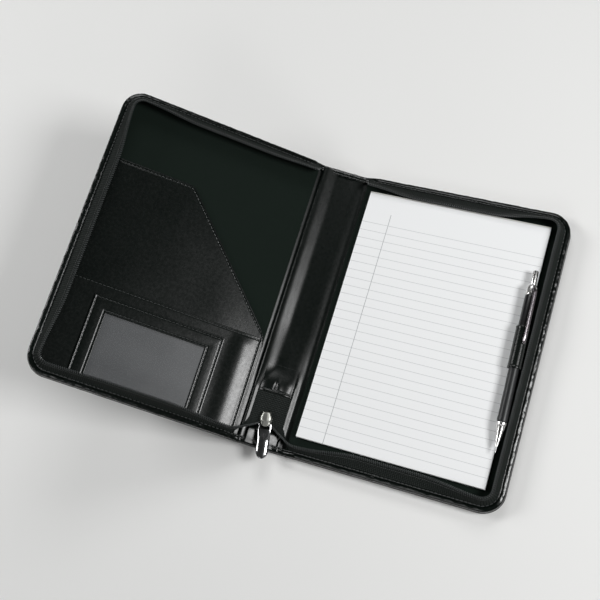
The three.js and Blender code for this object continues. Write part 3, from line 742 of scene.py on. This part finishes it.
def rim_tape_row(label, row):
    """Root, bend and free edge of the tape at a station, as points (d, y, n).

    The free part is gathered in where the tape leaves the slider, and runs out at the far end of the head."""
    d, y, in_d, in_y, part, from_start, to_end = row
    gathered, gather_length, run_out = 0.62, 50, 5.0
    lean = lean_at(label, row)
    reach = TAPE_REACH
    if part == "foot":
        reach *= gathered + (1 - gathered) * smooth(from_start / gather_length)
    if part == "head":
        reach *= math.sqrt(1 - (1 - min(to_end / run_out, 1)) ** 2) * 0.96 + 0.04
    free = TAPE_BEND[0] + reach * math.sin(lean), TAPE_BEND[1] + reach * math.cos(lean)
    return [(d + in_d * i, y + in_y * i, n) for i, n in (TAPE_ROOT, TAPE_BEND, free)]


def tail_rows():
    """The tape's half of the closed tail, from under the flap down to the slider."""
    rows = []
    for y in np.arange(TAIL_TOP + 1, TAIL_FOOT, -1.0):
        parting = 0.12 + 1.6 * smooth((TAIL_FOOT + 8 - y) / 2)
        across = TAIL_SELVEDGE, TAIL_SELVEDGE - TAIL_BEND, MID_SPINE + parting
        rows.append([(d, y, n) for d, n in zip(across, TAIL_HEIGHTS)])
    return rows


def hermite(p, p_ahead, q, q_ahead, t):
    p, p_ahead, q, q_ahead = (np.array(v, float) for v in (p, p_ahead, q, q_ahead))
    return ((2 * t**3 - 3 * t**2 + 1) * p + (t**3 - 2 * t**2 + t) * p_ahead
            + (-2 * t**3 + 3 * t**2) * q + (t**3 - t**2) * q_ahead)


def branch_rows(last, first):
    """The loose stretch between the tail and the rim. It turns from lying flat to standing up."""
    ahead_out = [(2, -20, 0), (4, -20, 0), (8, -14, 1)]
    ahead_in = [(20, -1, 2), (20, -1, 2), (22, 5, 8)]
    return [[tuple(hermite(last[k], ahead_out[k], first[k], ahead_in[k], t)) for k in range(3)]
            for t in np.linspace(0, 1, 24)[1:-1]]


def tape_controls(label):
    on_rim = [rim_tape_row(label, row) for row in rim_path(1.5, TAPE_START, TAPE_END[label])]
    tail = tail_rows()
    return np.array(tail + branch_rows(tail[-1], on_rim[0]) + on_rim), len(tail)


def tape_surface(side, controls):
    v = np.linspace(0, 1, 11)[None, :, None]
    root, turn, free = (controls[:, k][:, None] for k in range(3))
    across = (1 - v) ** 2 * root + 2 * v * (1 - v) * turn + v**2 * free
    across[..., 2] += 0.14 * field(across, (9, 9, 30), 5.5) * v[..., 0] ** 2
    return side.place(across[..., 0], across[..., 1], across[..., 2])


def zipper(label, side):
    controls, tail_count = tape_controls(label)
    centre = tape_surface(side, controls)
    normals = grid_normals(centre)
    half = normals * (TAPE_THICK / 2)
    points, faces = closed_sheet(centre + half, centre - half)
    along = lengths(centre[:, -1])
    width = np.array([lengths(row) for row in centre])
    weave = np.stack([np.repeat(along[:, None], centre.shape[1], axis=1), width, 0 * width], axis=-1)
    tape = make(f"{label}_zip_tape_cloth", points, faces, TAPE,
                weave=np.concatenate([weave.reshape(-1, 3)] * 2))
    nodes = [f"{label}_zip_tape", f"zip_branch_{label}"] + (["zip_tail_tape"] if label == "back" else [])
    on_hinge(tape, side, "zip_tape", *nodes)

    centre, normals = centre[tail_count + 2:], normals[tail_count + 2:]
    edge = centre[:, -1]
    outwards = unit(edge - centre[:, -3])
    piece = coil(f"{label}_zip_coil_teeth", edge + outwards * 0.5, outwards, normals[:, -1])
    on_hinge(piece, side, "zip_teeth", f"{label}_zip_coil")

    face = normals[:, -2] * side.turn
    chain = stitches(f"{label}_coil_sewing", centre[:, -2] + face * 0.3, face,
                     pitch=COIL_PITCH, length=1.3, radius=0.2)
    on_hinge(chain, side, "zip_tape")


def coil(name, line, outwards, over):
    """A nylon coil: one flattened helix along the tape's edge."""
    per_turn, wide, tall, wire = 9, 1.05, 0.62, 0.33
    data, places = resample(np.concatenate([line, outwards, over], axis=1), COIL_PITCH / per_turn)
    line, outwards, over = data[:, :3], unit(data[:, 3:6]), unit(data[:, 6:])
    turn = 2 * math.pi * places / COIL_PITCH
    helix = line + outwards * (wide * np.cos(turn))[:, None] + over * (tall * np.sin(turn))[:, None]
    return tubes(name, [helix], wire, TEETH, sides=5)


# ---- the spine: glossy lining with long soft folds, and the flap sewn over the zipper's tail ----

FOLD_RISE = 3.1
FOLD_DROP = 3


def foot_folds(a):
    """Two folds below the loose tapes, each steep on the front cover's side and slack on the back cover's."""
    height = np.zeros_like(a)
    for low, high in ((6.5, 15.0), (22.0, 30.5)):
        height += FOLD_RISE * np.clip((a - low) / (high - low), 0, 1) * (1 - smooth((a - high) / FOLD_DROP))
    return height


SPINE_LEVEL = 3.3  # the lining's height between its folds


def spine_height(a, y):
    """How high the lining stands, a from the back hinge line.

    It swells into one soft fold before each hinge, the front one wide and high. Beside the zipper's tail both
    are pushed out to the hinges. It rises in the middle to meet the flap, and at the foot to meet the hem,
    where two short folds cross it. The places, widths and heights were matched to the photograph."""
    tail = smooth((-52 - y) / 24)
    crest, slope = 35 + 1.8 * tail, 12 - 7.2 * tail
    front_side = smooth((a - crest + slope) / slope) * (1 - smooth((a - 36.8) / 2.6))
    beside_tail = np.clip((a - 1.4) / 3.6, 0, 1) * (1 - smooth((a - 5) / 2))
    to_flap = smooth((-18 - y) / 34) * (1 - smooth((-68 - y) / 8))
    near_foot, at_foot = smooth((-103.5 - y) / 4.5), smooth((-113 - y) / 7)
    height = SPINE_LEVEL + 0.45 * (1 - tail) * bump(a, 8.0, 4.0) + 1.3 * tail * beside_tail
    height += (3.2 - 1.75 * tail) * front_side
    height += 1.8 * bump(a, SPINE_W / 2, 13) * to_flap
    height -= 0.3 * (1 - tail) * bump(a, 0, 2.0) + 0.5 * bump(a, SPINE_W, 1.4)
    loose = 0.16 * waves(a, y, 14, 60, 1.7) + 0.05 * waves(a, y, 4, 14, 9.2)
    return height + loose + foot_folds(a) * near_foot + 0.6 * at_foot


def spine_lining(label, side, past_hinge):
    d = spread(MID_SPINE, past_hinge, coarse=0.8, fine=0.45, margin=1.5)
    y = np.arange(-HALF + 1.5, HALF - 1.4, 1.2)
    dd, yy = every_pair(d, y)
    a = -dd if label == "back" else SPINE_W + dd
    top = side.place(dd, yy, spine_height(a, yy))
    piece = slab(f"{label}_spine_lining", top, LEATHER_THICK, side.up(MID_SPINE, 0, 0), LEATHER_SPINE)
    on_hinge(piece, side, "inner_leather", *(["spine_lining"] if label == "back" else []))


FLAP_INSET = 6.4  # from the hinge lines, so that a shut cover clears it
FLAP_TOP = 7.35  # its height over the tail
FLAP_PAST_TAIL = 13  # how far it runs on above the tail
FLAP_SEAM = 2.1  # its row of stitches, up from its lower edge
FLAP_SIDE = 9  # it rises to the tail over this width


def flap_height(a, y):
    """The flap lies on the lining at its borders and arches over the tail, with a pinched crease in it."""
    inside = np.clip((np.minimum(a, SPINE_W - a) - FLAP_INSET) / FLAP_SIDE, 0, 1)
    over = 0.4 + 0.6 * (1 - (1 - inside) ** 2.5)
    end = 1 - smooth((y - TAIL_TOP + 3) / 15)
    lining = spine_height(a, y) + 0.06
    up = y - FLAP_EDGE
    edge_roll = 0.25 * bump(up, 0.8, 0.7) - 0.25 * bump(up, FLAP_SEAM, 0.55)
    crease = 0.9 * bump(a, 17.0 + 0.15 * up, 2.6) - 1.3 * bump(a, 20.6, 1.1)
    pinch = smooth((up - 1) / 3) * smooth((13 - up) / 11)
    return lining + (FLAP_TOP - lining + edge_roll) * over * end + crease * over * pinch


def zip_flap():
    a = np.linspace(FLAP_INSET, SPINE_W - FLAP_INSET, 56)
    top_edge = TAIL_TOP + FLAP_PAST_TAIL
    y = np.concatenate([FLAP_EDGE + np.arange(0, 4, 0.35), np.arange(FLAP_EDGE + 4, top_edge, 0.7)])
    aa, yy = every_pair(a, y)
    top = spine_place(aa, yy, flap_height(aa, yy))
    piece = slab("zip_flap_leather", top, LEATHER_THICK, SPINE_UP, LEATHER_SPINE)
    bevel(piece, 0.2)
    on_body(piece, "spine", "inner_leather", "zip_tail_flap")
    run = np.linspace(FLAP_INSET + 1.5, SPINE_W - FLAP_INSET - 1.5, 56)
    row = np.full_like(run, FLAP_EDGE + FLAP_SEAM)
    sew("zip_flap_stitches", spine_place(run, row, flap_height(run, row)), SPINE_UP, "spine")


# ---- slider and pull ----

SLIDER_HALF = 5.85  # half the slider's length
SLIDER_MIDDLE = 4.6  # its middle, from the pull's bar
HEAD_HALF, SHOULDER_HALF = 3.3, 4.9  # half its width
CAP_NOTCH = -2.4  # below this the cap is narrow, between the legs of the pull
NOTCH_HALF = 3.25
CAP_FLOOR = 8.4  # the cap's underside
BAR_ROOF = 10.8  # the same, over the pull's bar
CAP_RIM = 9.2  # the height of the cap's edge, which rises by CAP_STEP to roof the bar
CAP_STEP = 1.9
CAP_CROWN = 11.5


def acorn_width(y):
    """Half the slider's width: narrow at its square head, widest at its shoulder, and round at its foot."""
    head = HEAD_HALF + (SHOULDER_HALF - HEAD_HALF) * smooth((SLIDER_HALF - y) / 5.0)
    past_shoulder = np.clip(0.8 - y, 0, None) / (SLIDER_HALF + 0.85)
    return np.minimum(head, SHOULDER_HALF * np.sqrt(np.clip(1 - past_shoulder**2, 0.006, 1)))


def slider_cap():
    """A cap with a faint ridge and rolled edges.

    It is low over the tapes and roofs the pull's bar at its foot."""
    y = np.concatenate([np.linspace(SLIDER_HALF, CAP_NOTCH + 0.05, 22),
                        np.linspace(CAP_NOTCH, -SLIDER_HALF, 18)])
    u = np.sin(np.linspace(-math.pi / 2, math.pi / 2, 31))
    yy, uu = every_pair(y, u)
    above_notch = yy > CAP_NOTCH + 0.02
    wide = acorn_width(yy) * 0.96
    x = uu * np.where(above_notch, wide, np.minimum(wide, NOTCH_HALF))
    roof = smooth((CAP_NOTCH + 1.6 - yy) / 1.6)
    rim_n = CAP_RIM + CAP_STEP * roof
    ends = smooth((SLIDER_HALF - abs(yy)) / 0.9)
    crown = rim_n + (CAP_CROWN - rim_n) * (0.35 + 0.65 * ends)
    ridge = 0.5 * abs(uu + 0.1) * (1 - roof)
    top = rim_n + (crown - rim_n) * (1 - abs(uu) ** 5) ** 0.5 - ridge
    under = np.minimum(np.where(above_notch, CAP_FLOOR, BAR_ROOF), top - 0.25)
    v = yy + SLIDER_MIDDLE
    points, faces = closed_sheet(slider_place(x, v, top), slider_place(x, v, under))
    piece = make("slider_cap_dome", points, faces, NICKEL, sharp=50)
    on_body(piece, "zip_slider", "slider_nickel", "slider_cap")
    finish_node("slider_body", NICKEL, 0.3)


def zip_pull():
    """A bullet, crowned across, with a slot at its top that leaves its bar free under the cap."""
    ahead = math.cos(PULL_YAW) * Y_AXIS - math.sin(PULL_YAW) * SPINE_ALONG
    length = -float(((node_points("pull_tab") - PULL_BAR) @ ahead).min())
    slot_low, slot_half, bar_half, tip_length = 3.4, 0.74, 0.75, 6.0
    half_width, bar_thick, swell = 4.85, 0.8, 1.6
    hair = 1e-6  # for comparing sums of decimals
    tip_start = length - tip_length
    down = np.concatenate([[-bar_half, -0.4, 0, 0.4, bar_half], np.linspace(bar_half, slot_low, 6)[1:],
                           np.linspace(slot_low, tip_start, 18)[1:],
                           tip_start + tip_length * np.sin(np.linspace(0, math.pi / 2, 16)[1:])])
    u = np.concatenate([-np.linspace(1, slot_half, 7), np.linspace(-slot_half, slot_half, 21)[1:-1],
                        np.linspace(slot_half, 1, 7)])
    dd, uu = every_pair(down, u)
    tip = np.clip((dd - tip_start) / tip_length, 0, 1)
    x = uu * half_width * np.sqrt(1 - 0.985 * tip**2)
    thick = bar_thick + swell * smooth((dd - slot_low) / 10) * np.sqrt(1 - 0.8 * tip**2)
    curve = np.sqrt(1 - 0.95 * uu**2)
    top = PULL_N - 0.2 + thick * curve
    under = PULL_N - 0.8 + 0.25 * (1 - curve)
    beside = (down[:-1] < bar_half - hair) | (down[1:] > slot_low + hair)
    outside = (u[:-1] < -slot_half - hair) | (u[1:] > slot_half + hair)
    keep = beside[:, None] | outside
    points, faces = closed_sheet(slider_place(x, -dd, top), slider_place(x, -dd, under), keep=keep)
    piece = make("zip_pull_bullet", points, faces, PULL_CHROME, sharp=50)
    on_body(piece, "zip_pull", "pull_chrome", "pull_tab")


# ---- the front cover's pockets ----

POCKET_TOP = 62.5
CARD_TOP = -37.5
EDGE_ROLL = 0.7  # the middle of a folded edge's roll, in from the edge
SEAM = 1.9  # the row of stitches, in from the edge
POCKET_START = 3.6  # the document pocket's edge beside the spine
SLOPE_D, SLOPE_Y = 9, -29.5  # the foot of its sloping edge
SLOPE_HEAD = 94
SLOPE_END = 95  # past this the edge is level
SLOPE = (POCKET_TOP - 2 - SLOPE_Y) / (SLOPE_HEAD - SLOPE_D)
CORNER_DROP = 12.5  # its edge falls this far, in a curve, between the slope and the spine
CARD_START = 5  # the card pocket's edge beside the spine


def sewn_edge(distance):
    """The rise of a folded edge and the dip of the stitches behind it."""
    return 0.18 * bump(distance, EDGE_ROLL, 0.7) - 0.24 * bump(distance, SEAM, 0.55)


def pocket_piece(name, top, node, **options):
    """A leather piece sewn inside the front cover."""
    piece = slab(name, top, LEATHER_THICK, FRONT_UP, LEATHER_POCKET, **options)
    bevel(piece, 0.18)
    on_body(piece, "front_cover", "inner_leather", node)
    return piece


def document_top(d):
    """The document pocket's upper edge: level, then a slope down towards the spine, with eased corners."""
    line = SLOPE_Y + SLOPE * (d - SLOPE_D)
    eased = -0.5 * (np.sqrt((line - POCKET_TOP) ** 2 + 4) - (line + POCKET_TOP))
    share = np.clip((d - POCKET_START) / (SLOPE_D - POCKET_START), 0, 1)
    return np.where(d < SLOPE_D, SLOPE_Y - CORNER_DROP * (1 - np.sqrt(share)), eased)


def squared(d):
    """What turns a distance along y into one square to the document pocket's upper edge."""
    return np.where((d > SLOPE_D) & (d < SLOPE_END), math.cos(math.atan(SLOPE)), 1)


def document_pocket():
    level = LINING_N + 1.1
    inset = PANEL_INSET
    corner = POCKET_START + np.array([0, 0.1, 0.3, 0.7, 1.3, 2.1, 3.1, 4.2])
    d = np.concatenate([corner, corner_rows(SLOPE_D, inset, 2.5)])

    def height(d, y):
        top_edge = (document_top(d) - y) * squared(d)
        outer = from_outline(d, np.minimum(y, 0), inset)
        slack = 0.5 * (waves(d, y, 45, 38, 4.4) + 0.6) * smooth(top_edge / 30)
        return level + sewn_edge(top_edge) - 0.9 * (1 - smooth(outer / 3)) + slack * smooth(outer / 25)

    top = FRONT.place(*panel(d, inset, height, document_top))
    piece = pocket_piece("document_pocket_leather", top, "document_pocket")

    run = np.linspace(SLOPE_D + 1, COVER_W - inset - 4, 400)
    row = document_top(run) - SEAM / squared(run)
    sew("document_pocket_stitches", FRONT.place(run, row, height(run, row)), FRONT_UP, "front_cover")


CARD_INSET = PANEL_INSET + 0.4


def card_height(d, y):
    """The card pocket swells a little over what it holds, most beside the spine."""
    level = LINING_N + 2.2
    side_edge = d - CARD_START
    near_spine = 1.05 * bump(d, 19, 7.5) * smooth((CARD_TOP - y + 4) / 14)
    swell = (near_spine + 0.25 * waves(d, y, 26, 40, 6.1)) * smooth(side_edge / 8) * smooth((34 - d) / 8)
    sewn = sewn_edge(side_edge) + 0.7 * sewn_edge(CARD_TOP - y)
    return level + sewn + swell - 0.8 * (1 - smooth(from_outline(d, y, CARD_INSET) / 3))


def card_pocket():
    d = np.concatenate([CARD_START + np.arange(0, 4, 0.4), corner_rows(9, CARD_INSET, 2.0)])
    top = FRONT.place(*panel(d, CARD_INSET, card_height, lambda d: CARD_TOP + 0 * d, coarse=5.0))
    piece = pocket_piece("card_pocket_leather", top, "card_pocket")
    side_y = np.linspace(CARD_TOP - 1, -HALF + 7, 200)
    top_d = np.linspace(7, COVER_W - 10, 300)
    for name, run, row in (
        ("card_pocket_side_stitches", np.full_like(side_y, CARD_START + SEAM), side_y),
        ("card_pocket_top_stitches", top_d, np.full_like(top_d, CARD_TOP - SEAM)),
    ):
        sew(name, FRONT.place(run, row, card_height(run, row)), FRONT_UP, "front_cover", radius=0.3)


WINDOW = (46.6, -111.0, 127.6, -59.8)  # d and y of two corners
FRAME_OUT = (34.1, -114.5, 140.1, -47.3)
FRAME_N = LINING_N + 3.8
FRAME_WIDTH = 12.5  # between its two folded edges


def box_loop(corners, count):
    """Points round a box, the same number on each side, starting at its low corner."""
    x0, y0, x1, y1 = corners
    turns = [(x0, y0), (x1, y0), (x1, y1), (x0, y1), (x0, y0)]
    return np.array([(a[0] + (b[0] - a[0]) * t, a[1] + (b[1] - a[1]) * t)
                     for a, b in zip(turns, turns[1:]) for t in np.linspace(0, 1, count, endpoint=False)])


def frame_height(share):
    """The frame's top, from its outer edge (share 0) to the window (share 1)."""
    edges = sewn_edge(share * FRAME_WIDTH) + 0.8 * sewn_edge((1 - share) * FRAME_WIDTH)
    return FRAME_N + edges + 0.12 * bump(share, 0.5, 0.25)


def window_frame():
    outer, inner = box_loop(FRAME_OUT, 44), box_loop(WINDOW, 44)
    share = np.concatenate([np.linspace(0, 0.3, 12), np.linspace(0.34, 0.66, 6), np.linspace(0.7, 1, 12)])
    loops = outer[:, None] + (inner - outer)[:, None] * share[None, :, None]
    top = FRONT.place(loops[..., 0], loops[..., 1], frame_height(share)[None])
    pocket_piece("id_window_leather", top, "id_window_frame", wrap_rows=True)
    for name, corners, inward, foot_in in (
        ("id_window_outer_stitches", FRAME_OUT, SEAM, 1.6),
        ("id_window_inner_stitches", WINDOW, -SEAM, -1.6),
    ):
        x0, y0, x1, y1 = corners
        left, right, foot, head = x0 + inward, x1 - inward, y0 + foot_in, y1 - inward
        line, _ = resample(np.array([(left, foot), (left, head), (right, head), (right, foot)]), 0.5)
        sew(name, FRONT.place(line[:, 0], line[:, 1], FRAME_N - 0.1), FRONT_UP, "front_cover")


def window_film():
    x0, y0, x1, y1 = WINDOW
    dd, yy = every_pair(np.linspace(x0 - 3, x1 + 3, 60), np.linspace(y0 - 2, y1 + 3, 40))
    level = LINING_N + 2.75 + 0.16 * waves(dd, yy, 30, 22, 8.8)
    piece = slab("id_window_vinyl", FRONT.place(dd, yy, level), 0.3, FRONT_UP, VINYL)
    on_body(piece, "front_cover", "clear_vinyl", "id_window_film")


# ---- the pad ----

def pad():
    """A pile of leaves, each a little askew, under a top page that lifts at the corners of its foot."""
    low, high = node_box("pad_sheets")
    rng = np.random.default_rng(5)
    stacks, most_slip, most_turn, gap = 14, 0.22, 0.0008, 0.02
    each = (high[2] - low[2]) / stacks
    points, faces = [], []
    for k in range(stacks):
        slip = rng.uniform(-most_slip, most_slip, 2)
        turn = rng.uniform(-most_turn, most_turn)
        x = np.array([low[0], high[0], high[0], low[0]]) + slip[0]
        y = np.array([low[1] + slip[1], low[1] + slip[1], high[1], high[1]])
        x = x + (y - high[1]) * turn
        for z in (low[2] + k * each, low[2] + (k + 1) * each - gap):
            points += [(px, py, z) for px, py in zip(x, y)]
        b = 8 * k
        faces += [(b, b + 1, b + 2, b + 3), (b + 7, b + 6, b + 5, b + 4)]
        faces += [(b + j, b + (j + 1) % 4, b + 4 + (j + 1) % 4, b + 4 + j) for j in range(4)]
    leaves = make("pad_leaves", np.array(points), faces, PAGES, sharp=20)
    on_body(leaves, "back_cover", "pad_paper", "pad_sheets")

    low, high = node_box("pad_top_sheet")
    lift_length, foot_length, corner_width = 150, 30, 40
    xx, yy = every_pair(np.linspace(low[0], high[0], 60), np.linspace(low[1], high[1], 84))
    free = smooth((high[1] - yy) / lift_length)
    lift = 0.10 + 0.14 * waves(xx, yy, 60, 80, 3.3)
    foot = smooth((low[1] + foot_length - yy) / foot_length)
    left = smooth((low[0] + corner_width - xx) / corner_width)
    right = smooth((xx - high[0] + corner_width) / corner_width)
    top = np.stack([xx, yy, high[2] + lift * free + 0.5 * foot * (left + 0.5 * right)], axis=-1)
    sheet = slab("pad_top_page", top, 0.15, Z_AXIS, ruled_paper(low, high), sharp=60)
    on_body(sheet, "back_cover", "ruled_paper", "pad_top_sheet")
    finish_node("pad_glue_strip", GUM, 0.2)


# ---- the pencil ----

AXIS = np.array(JOINTS["pencil_slide"]["axis"])
SIDEWAYS = np.array([AXIS[1], -AXIS[0], 0])
SLEEVE = node_points("pencil_lead_sleeve")
TIP_AT = float((SLEEVE @ AXIS).min())
TIP = SLEEVE.mean(axis=0)
TIP = TIP + AXIS * (TIP_AT - TIP @ AXIS)


def span(node):
    """How far from the tip a node begins and ends."""
    along = node_points(node) @ AXIS - TIP_AT
    return float(along.min()), float(along.max())


def turned(name, node, material, slot, near, far, body="pencil", bore=None):
    """A turned piece of the pencil. near and far are (distance, radius) from its lower and its upper end.

    With a bore its profile is closed along the bore, so the piece is a tube."""
    low, high = span(node)
    profile = [(low + at, radius) for at, radius in near] + [(high + at, radius) for at, radius in far]
    if bore:
        profile += [(profile[-1][0], bore), (profile[0][0], bore)]
    angle = np.linspace(0, 2 * math.pi, 56, endpoint=False)[:, None]
    ring = np.cos(angle) * SIDEWAYS + np.sin(angle) * Z_AXIS
    rings = np.array([TIP + AXIS * at + ring * radius for at, radius in profile])
    piece = sweep(name, rings, material, closed=bool(bore), sharp=28)
    on_body(piece, body, slot, node)


def pencil():
    turned("pencil_point_tube", "pencil_lead_sleeve", STEEL, "pencil_steel",
           [(0, 0.28), (0.15, 0.45)], [(0, 0.5), (0.25, 0.5)])
    turned("pencil_cone", "pencil_nose_cone", CHROME, "pencil_chrome",
           [(0, 0.7), (0.3, 1.05), (2.2, 1.25), (3.8, 1.55), (4.0, 1.8), (9, 2.45), (14, 3.25)],
           [(-2.6, 3.75), (-2.3, 3.6), (-1.9, 3.6), (-1.6, 3.85), (-0.3, 3.95), (0, 3.8)])
    low, high = span("pencil_grip")
    waist = [((high - low) * t, 3.98 - 0.12 * math.sin(math.pi * t)) for t in np.linspace(0.03, 0.97, 16)]
    turned("pencil_grip_sleeve", "pencil_grip", GRIP_RUBBER, "pencil_rubber", [(0, 3.7)] + waist, [(0, 3.8)])
    turned("pencil_body_tube", "pencil_barrel", BLACK_PLASTIC, "pencil_black",
           [(0, 3.7), (0.3, 4.05), (1.2, 4.1)], [(-0.6, 4.1), (0, 3.9)], bore=2.6)
    turned("pencil_top_collar", "pencil_collar", CHROME, "pencil_chrome",
           [(0, 3.9), (0.3, 4.35), (1.4, 4.4), (1.7, 4.15), (2.1, 4.15), (2.4, 4.4)],
           [(-2.6, 4.35), (-1.2, 3.9), (-0.3, 3.3), (0, 2.9)], bore=2.45)
    turned("pencil_push_cap", "pencil_button", CHROME, "pencil_chrome", [(0, 2.0), (0.4, 2.2)],
           [(-4.2, 2.2), (-4.0, 2.05), (-3.7, 2.05), (-3.5, 2.25), (-0.8, 2.25), (-0.25, 1.95), (0, 1.2)],
           body="pencil_push")


def pencil_clip():
    """A crowned spring strip on the pencil's right shoulder, turned down into the collar at its root."""
    roll = math.radians(28)
    out = math.sin(roll) * SIDEWAYS + math.cos(roll) * Z_AXIS
    across = np.cross(AXIS, out)
    low, high = span("pencil_clip")
    along = np.concatenate([np.linspace(low, high - 4, 30), np.linspace(high - 3.6, high - 0.4, 10)])
    ll, ww = every_pair(along, np.linspace(-1, 1, 11))
    root = smooth((ll - (high - 3.8)) / 3.0)
    radius = 7.05 - 2.3 * root - 0.35 * bump(ll, low + 2.5, 1.6) - 0.32 * ww**2
    half = 1.5 - 0.35 * smooth((low + 4 - ll) / 4)
    top = TIP + ll[..., None] * AXIS + radius[..., None] * out + (ww * half)[..., None] * across
    # the clip's chrome carries a painted dark reflection
    piece = slab("pencil_clip_strip", top, 0.75, out, CLIP_CHROME_PAINTED_SHADE, sharp=50)
    bevel(piece, 0.15)
    on_body(piece, "pencil", "pencil_chrome", "pencil_clip")


def pen_loop():
    """A sleeve of thin leather round the pencil, on a strap with a sewn foot."""
    loop = node_points("pen_loop")
    low, high = span("pen_loop")
    foot = float(loop[:, 2].min()) + 0.7 - TIP[2]
    right = float(((loop - TIP) @ SIDEWAYS).max())
    radius, thickness, hem = 5.2, 0.65, 3
    turn = np.radians(np.linspace(-24, 316, 70))
    circle = np.stack([radius * np.cos(turn), radius * np.sin(turn)], axis=1)
    strap = np.array([(right, foot), (right - 2, foot), (right - 4.2, foot + 0.1), (right - 5.4, foot + 1.2),
                      (right - 5.8, foot + 3.2), (right - 6.1, foot + 5.4)])
    outline, _ = resample(np.concatenate([strap, circle]), 0.5)
    along = spread(low, high, (high - low - 2 * hem) / 16, fine=0.3, margin=hem)
    roll = 0.28 * (bump(along, low + 0.7, 0.7) + bump(along, high - 0.7, 0.7))[:, None, None]
    centre = TIP + along[:, None, None] * AXIS
    top = centre + outline[None, :, :1] * SIDEWAYS + outline[None, :, 1:] * Z_AXIS
    normals = grid_normals(top)
    if ((top - centre) * normals).sum(axis=-1).mean() < 0:
        normals = -normals
    top = top + normals * roll
    points, faces = closed_sheet(top, top - normals * (thickness + roll))
    piece = make("pen_loop_leather", points, faces, LEATHER_POCKET)
    on_body(piece, "back_cover", "inner_leather", "pen_loop")


def inner_nodes():
    """The CAD nodes that keep their shapes, most of them out of sight."""
    for material, *nodes in (
        (GREYBOARD, "back_board", "front_board", "spine_board"), (PAD_CARD, "pad_backing_card"),
        (LINING, "back_lining"), (TEETH, "zip_tail_coil"), (ERASER, "pencil_eraser"),
        (BLACK_PLASTIC, "pencil_lead_tube"), (STEEL, "pencil_clutch", "pencil_spring"),
    ):
        for node in nodes:
            finish_node(node, material)


# ---- the stage ----

def floor():
    bpy.ops.mesh.primitive_plane_add(size=6, location=(0, 0, -0.0006))
    ground = bpy.context.object
    ground.name = "floor"
    shade = Shade("floor_paper", (0.80, 0.80, 0.79), 0.9)
    shade.colour(shade.noise(3, 2), (0.79, 0.79, 0.78), (0.81, 0.81, 0.80))
    ground.data.materials.append(shade.material)


def camera():
    """The photograph's view, from the fit of the case to it."""
    data = bpy.data.cameras.new("camera")
    data.sensor_width = 36
    data.lens = 57.1
    data.clip_start = 0.01
    obj = add_object("camera", data)
    eye = Vector((0.1100, -0.1816, 0.7264))
    forward = Vector((-0.28206, 0.23891, -0.92917)).normalized()
    right = forward.cross(Vector((-0.22371, 0.92542, 0.30586))).normalized()
    turn = Matrix((right, right.cross(forward), -forward)).transposed()
    obj.matrix_world = Matrix.Translation(eye) @ turn.to_4x4()
    bpy.context.scene.camera = obj


def softbox(name, azimuth, elevation, distance, size, power):
    """A big soft light aimed at the middle of the case, placed by its bearing from +X and its height."""
    a, e = math.radians(azimuth), math.radians(elevation)
    aim = Vector((-0.09, 0, 0))
    place = aim + distance * Vector((math.cos(a) * math.cos(e), math.sin(a) * math.cos(e), math.sin(e)))
    data = bpy.data.lights.new(name, "AREA")
    data.shape = "RECTANGLE"
    data.size, data.size_y = size
    data.energy = power
    obj = add_object(name, data)
    obj.location = place
    obj.rotation_euler = (aim - place).to_track_quat("-Z", "Y").to_euler()


def lights():
    world = bpy.data.worlds.new("studio")
    bpy.context.scene.world = world
    world.use_nodes = True
    background = world.node_tree.nodes["Background"]
    background.inputs["Color"].default_value = (0.95, 1.0, 0.98, 1)
    background.inputs["Strength"].default_value = 0.03
    softbox("key_right", 2, 42, 1.3, (0.45, 0.36), 11)
    softbox("fill_left", 178, 38, 1.4, (0.6, 0.4), 8)
    softbox("fill_far", 98, 42, 1.5, (0.8, 0.5), 6)
    softbox("fill_near", -95, 38, 1.5, (0.8, 0.4), 2.5)
    bpy.context.scene.view_settings.view_transform = "Standard"


camera()
floor()
lights()
for label, side in SIDES.items():
    outer_leather(label, side)
    rim(label, side)
    zipper(label, side)
lining_cloth("front", FRONT, LINING_N, "front_lining")
lining_cloth("back", BACK, PANEL_N, "pad_pocket")
spine_lining("back", BACK, 2.4)
spine_lining("front", FRONT, 3.5)
zip_flap()
slider_cap()
zip_pull()
document_pocket()
card_pocket()
window_frame()
window_film()
pad()
pencil()
pencil_clip()
pen_loop()
inner_nodes()
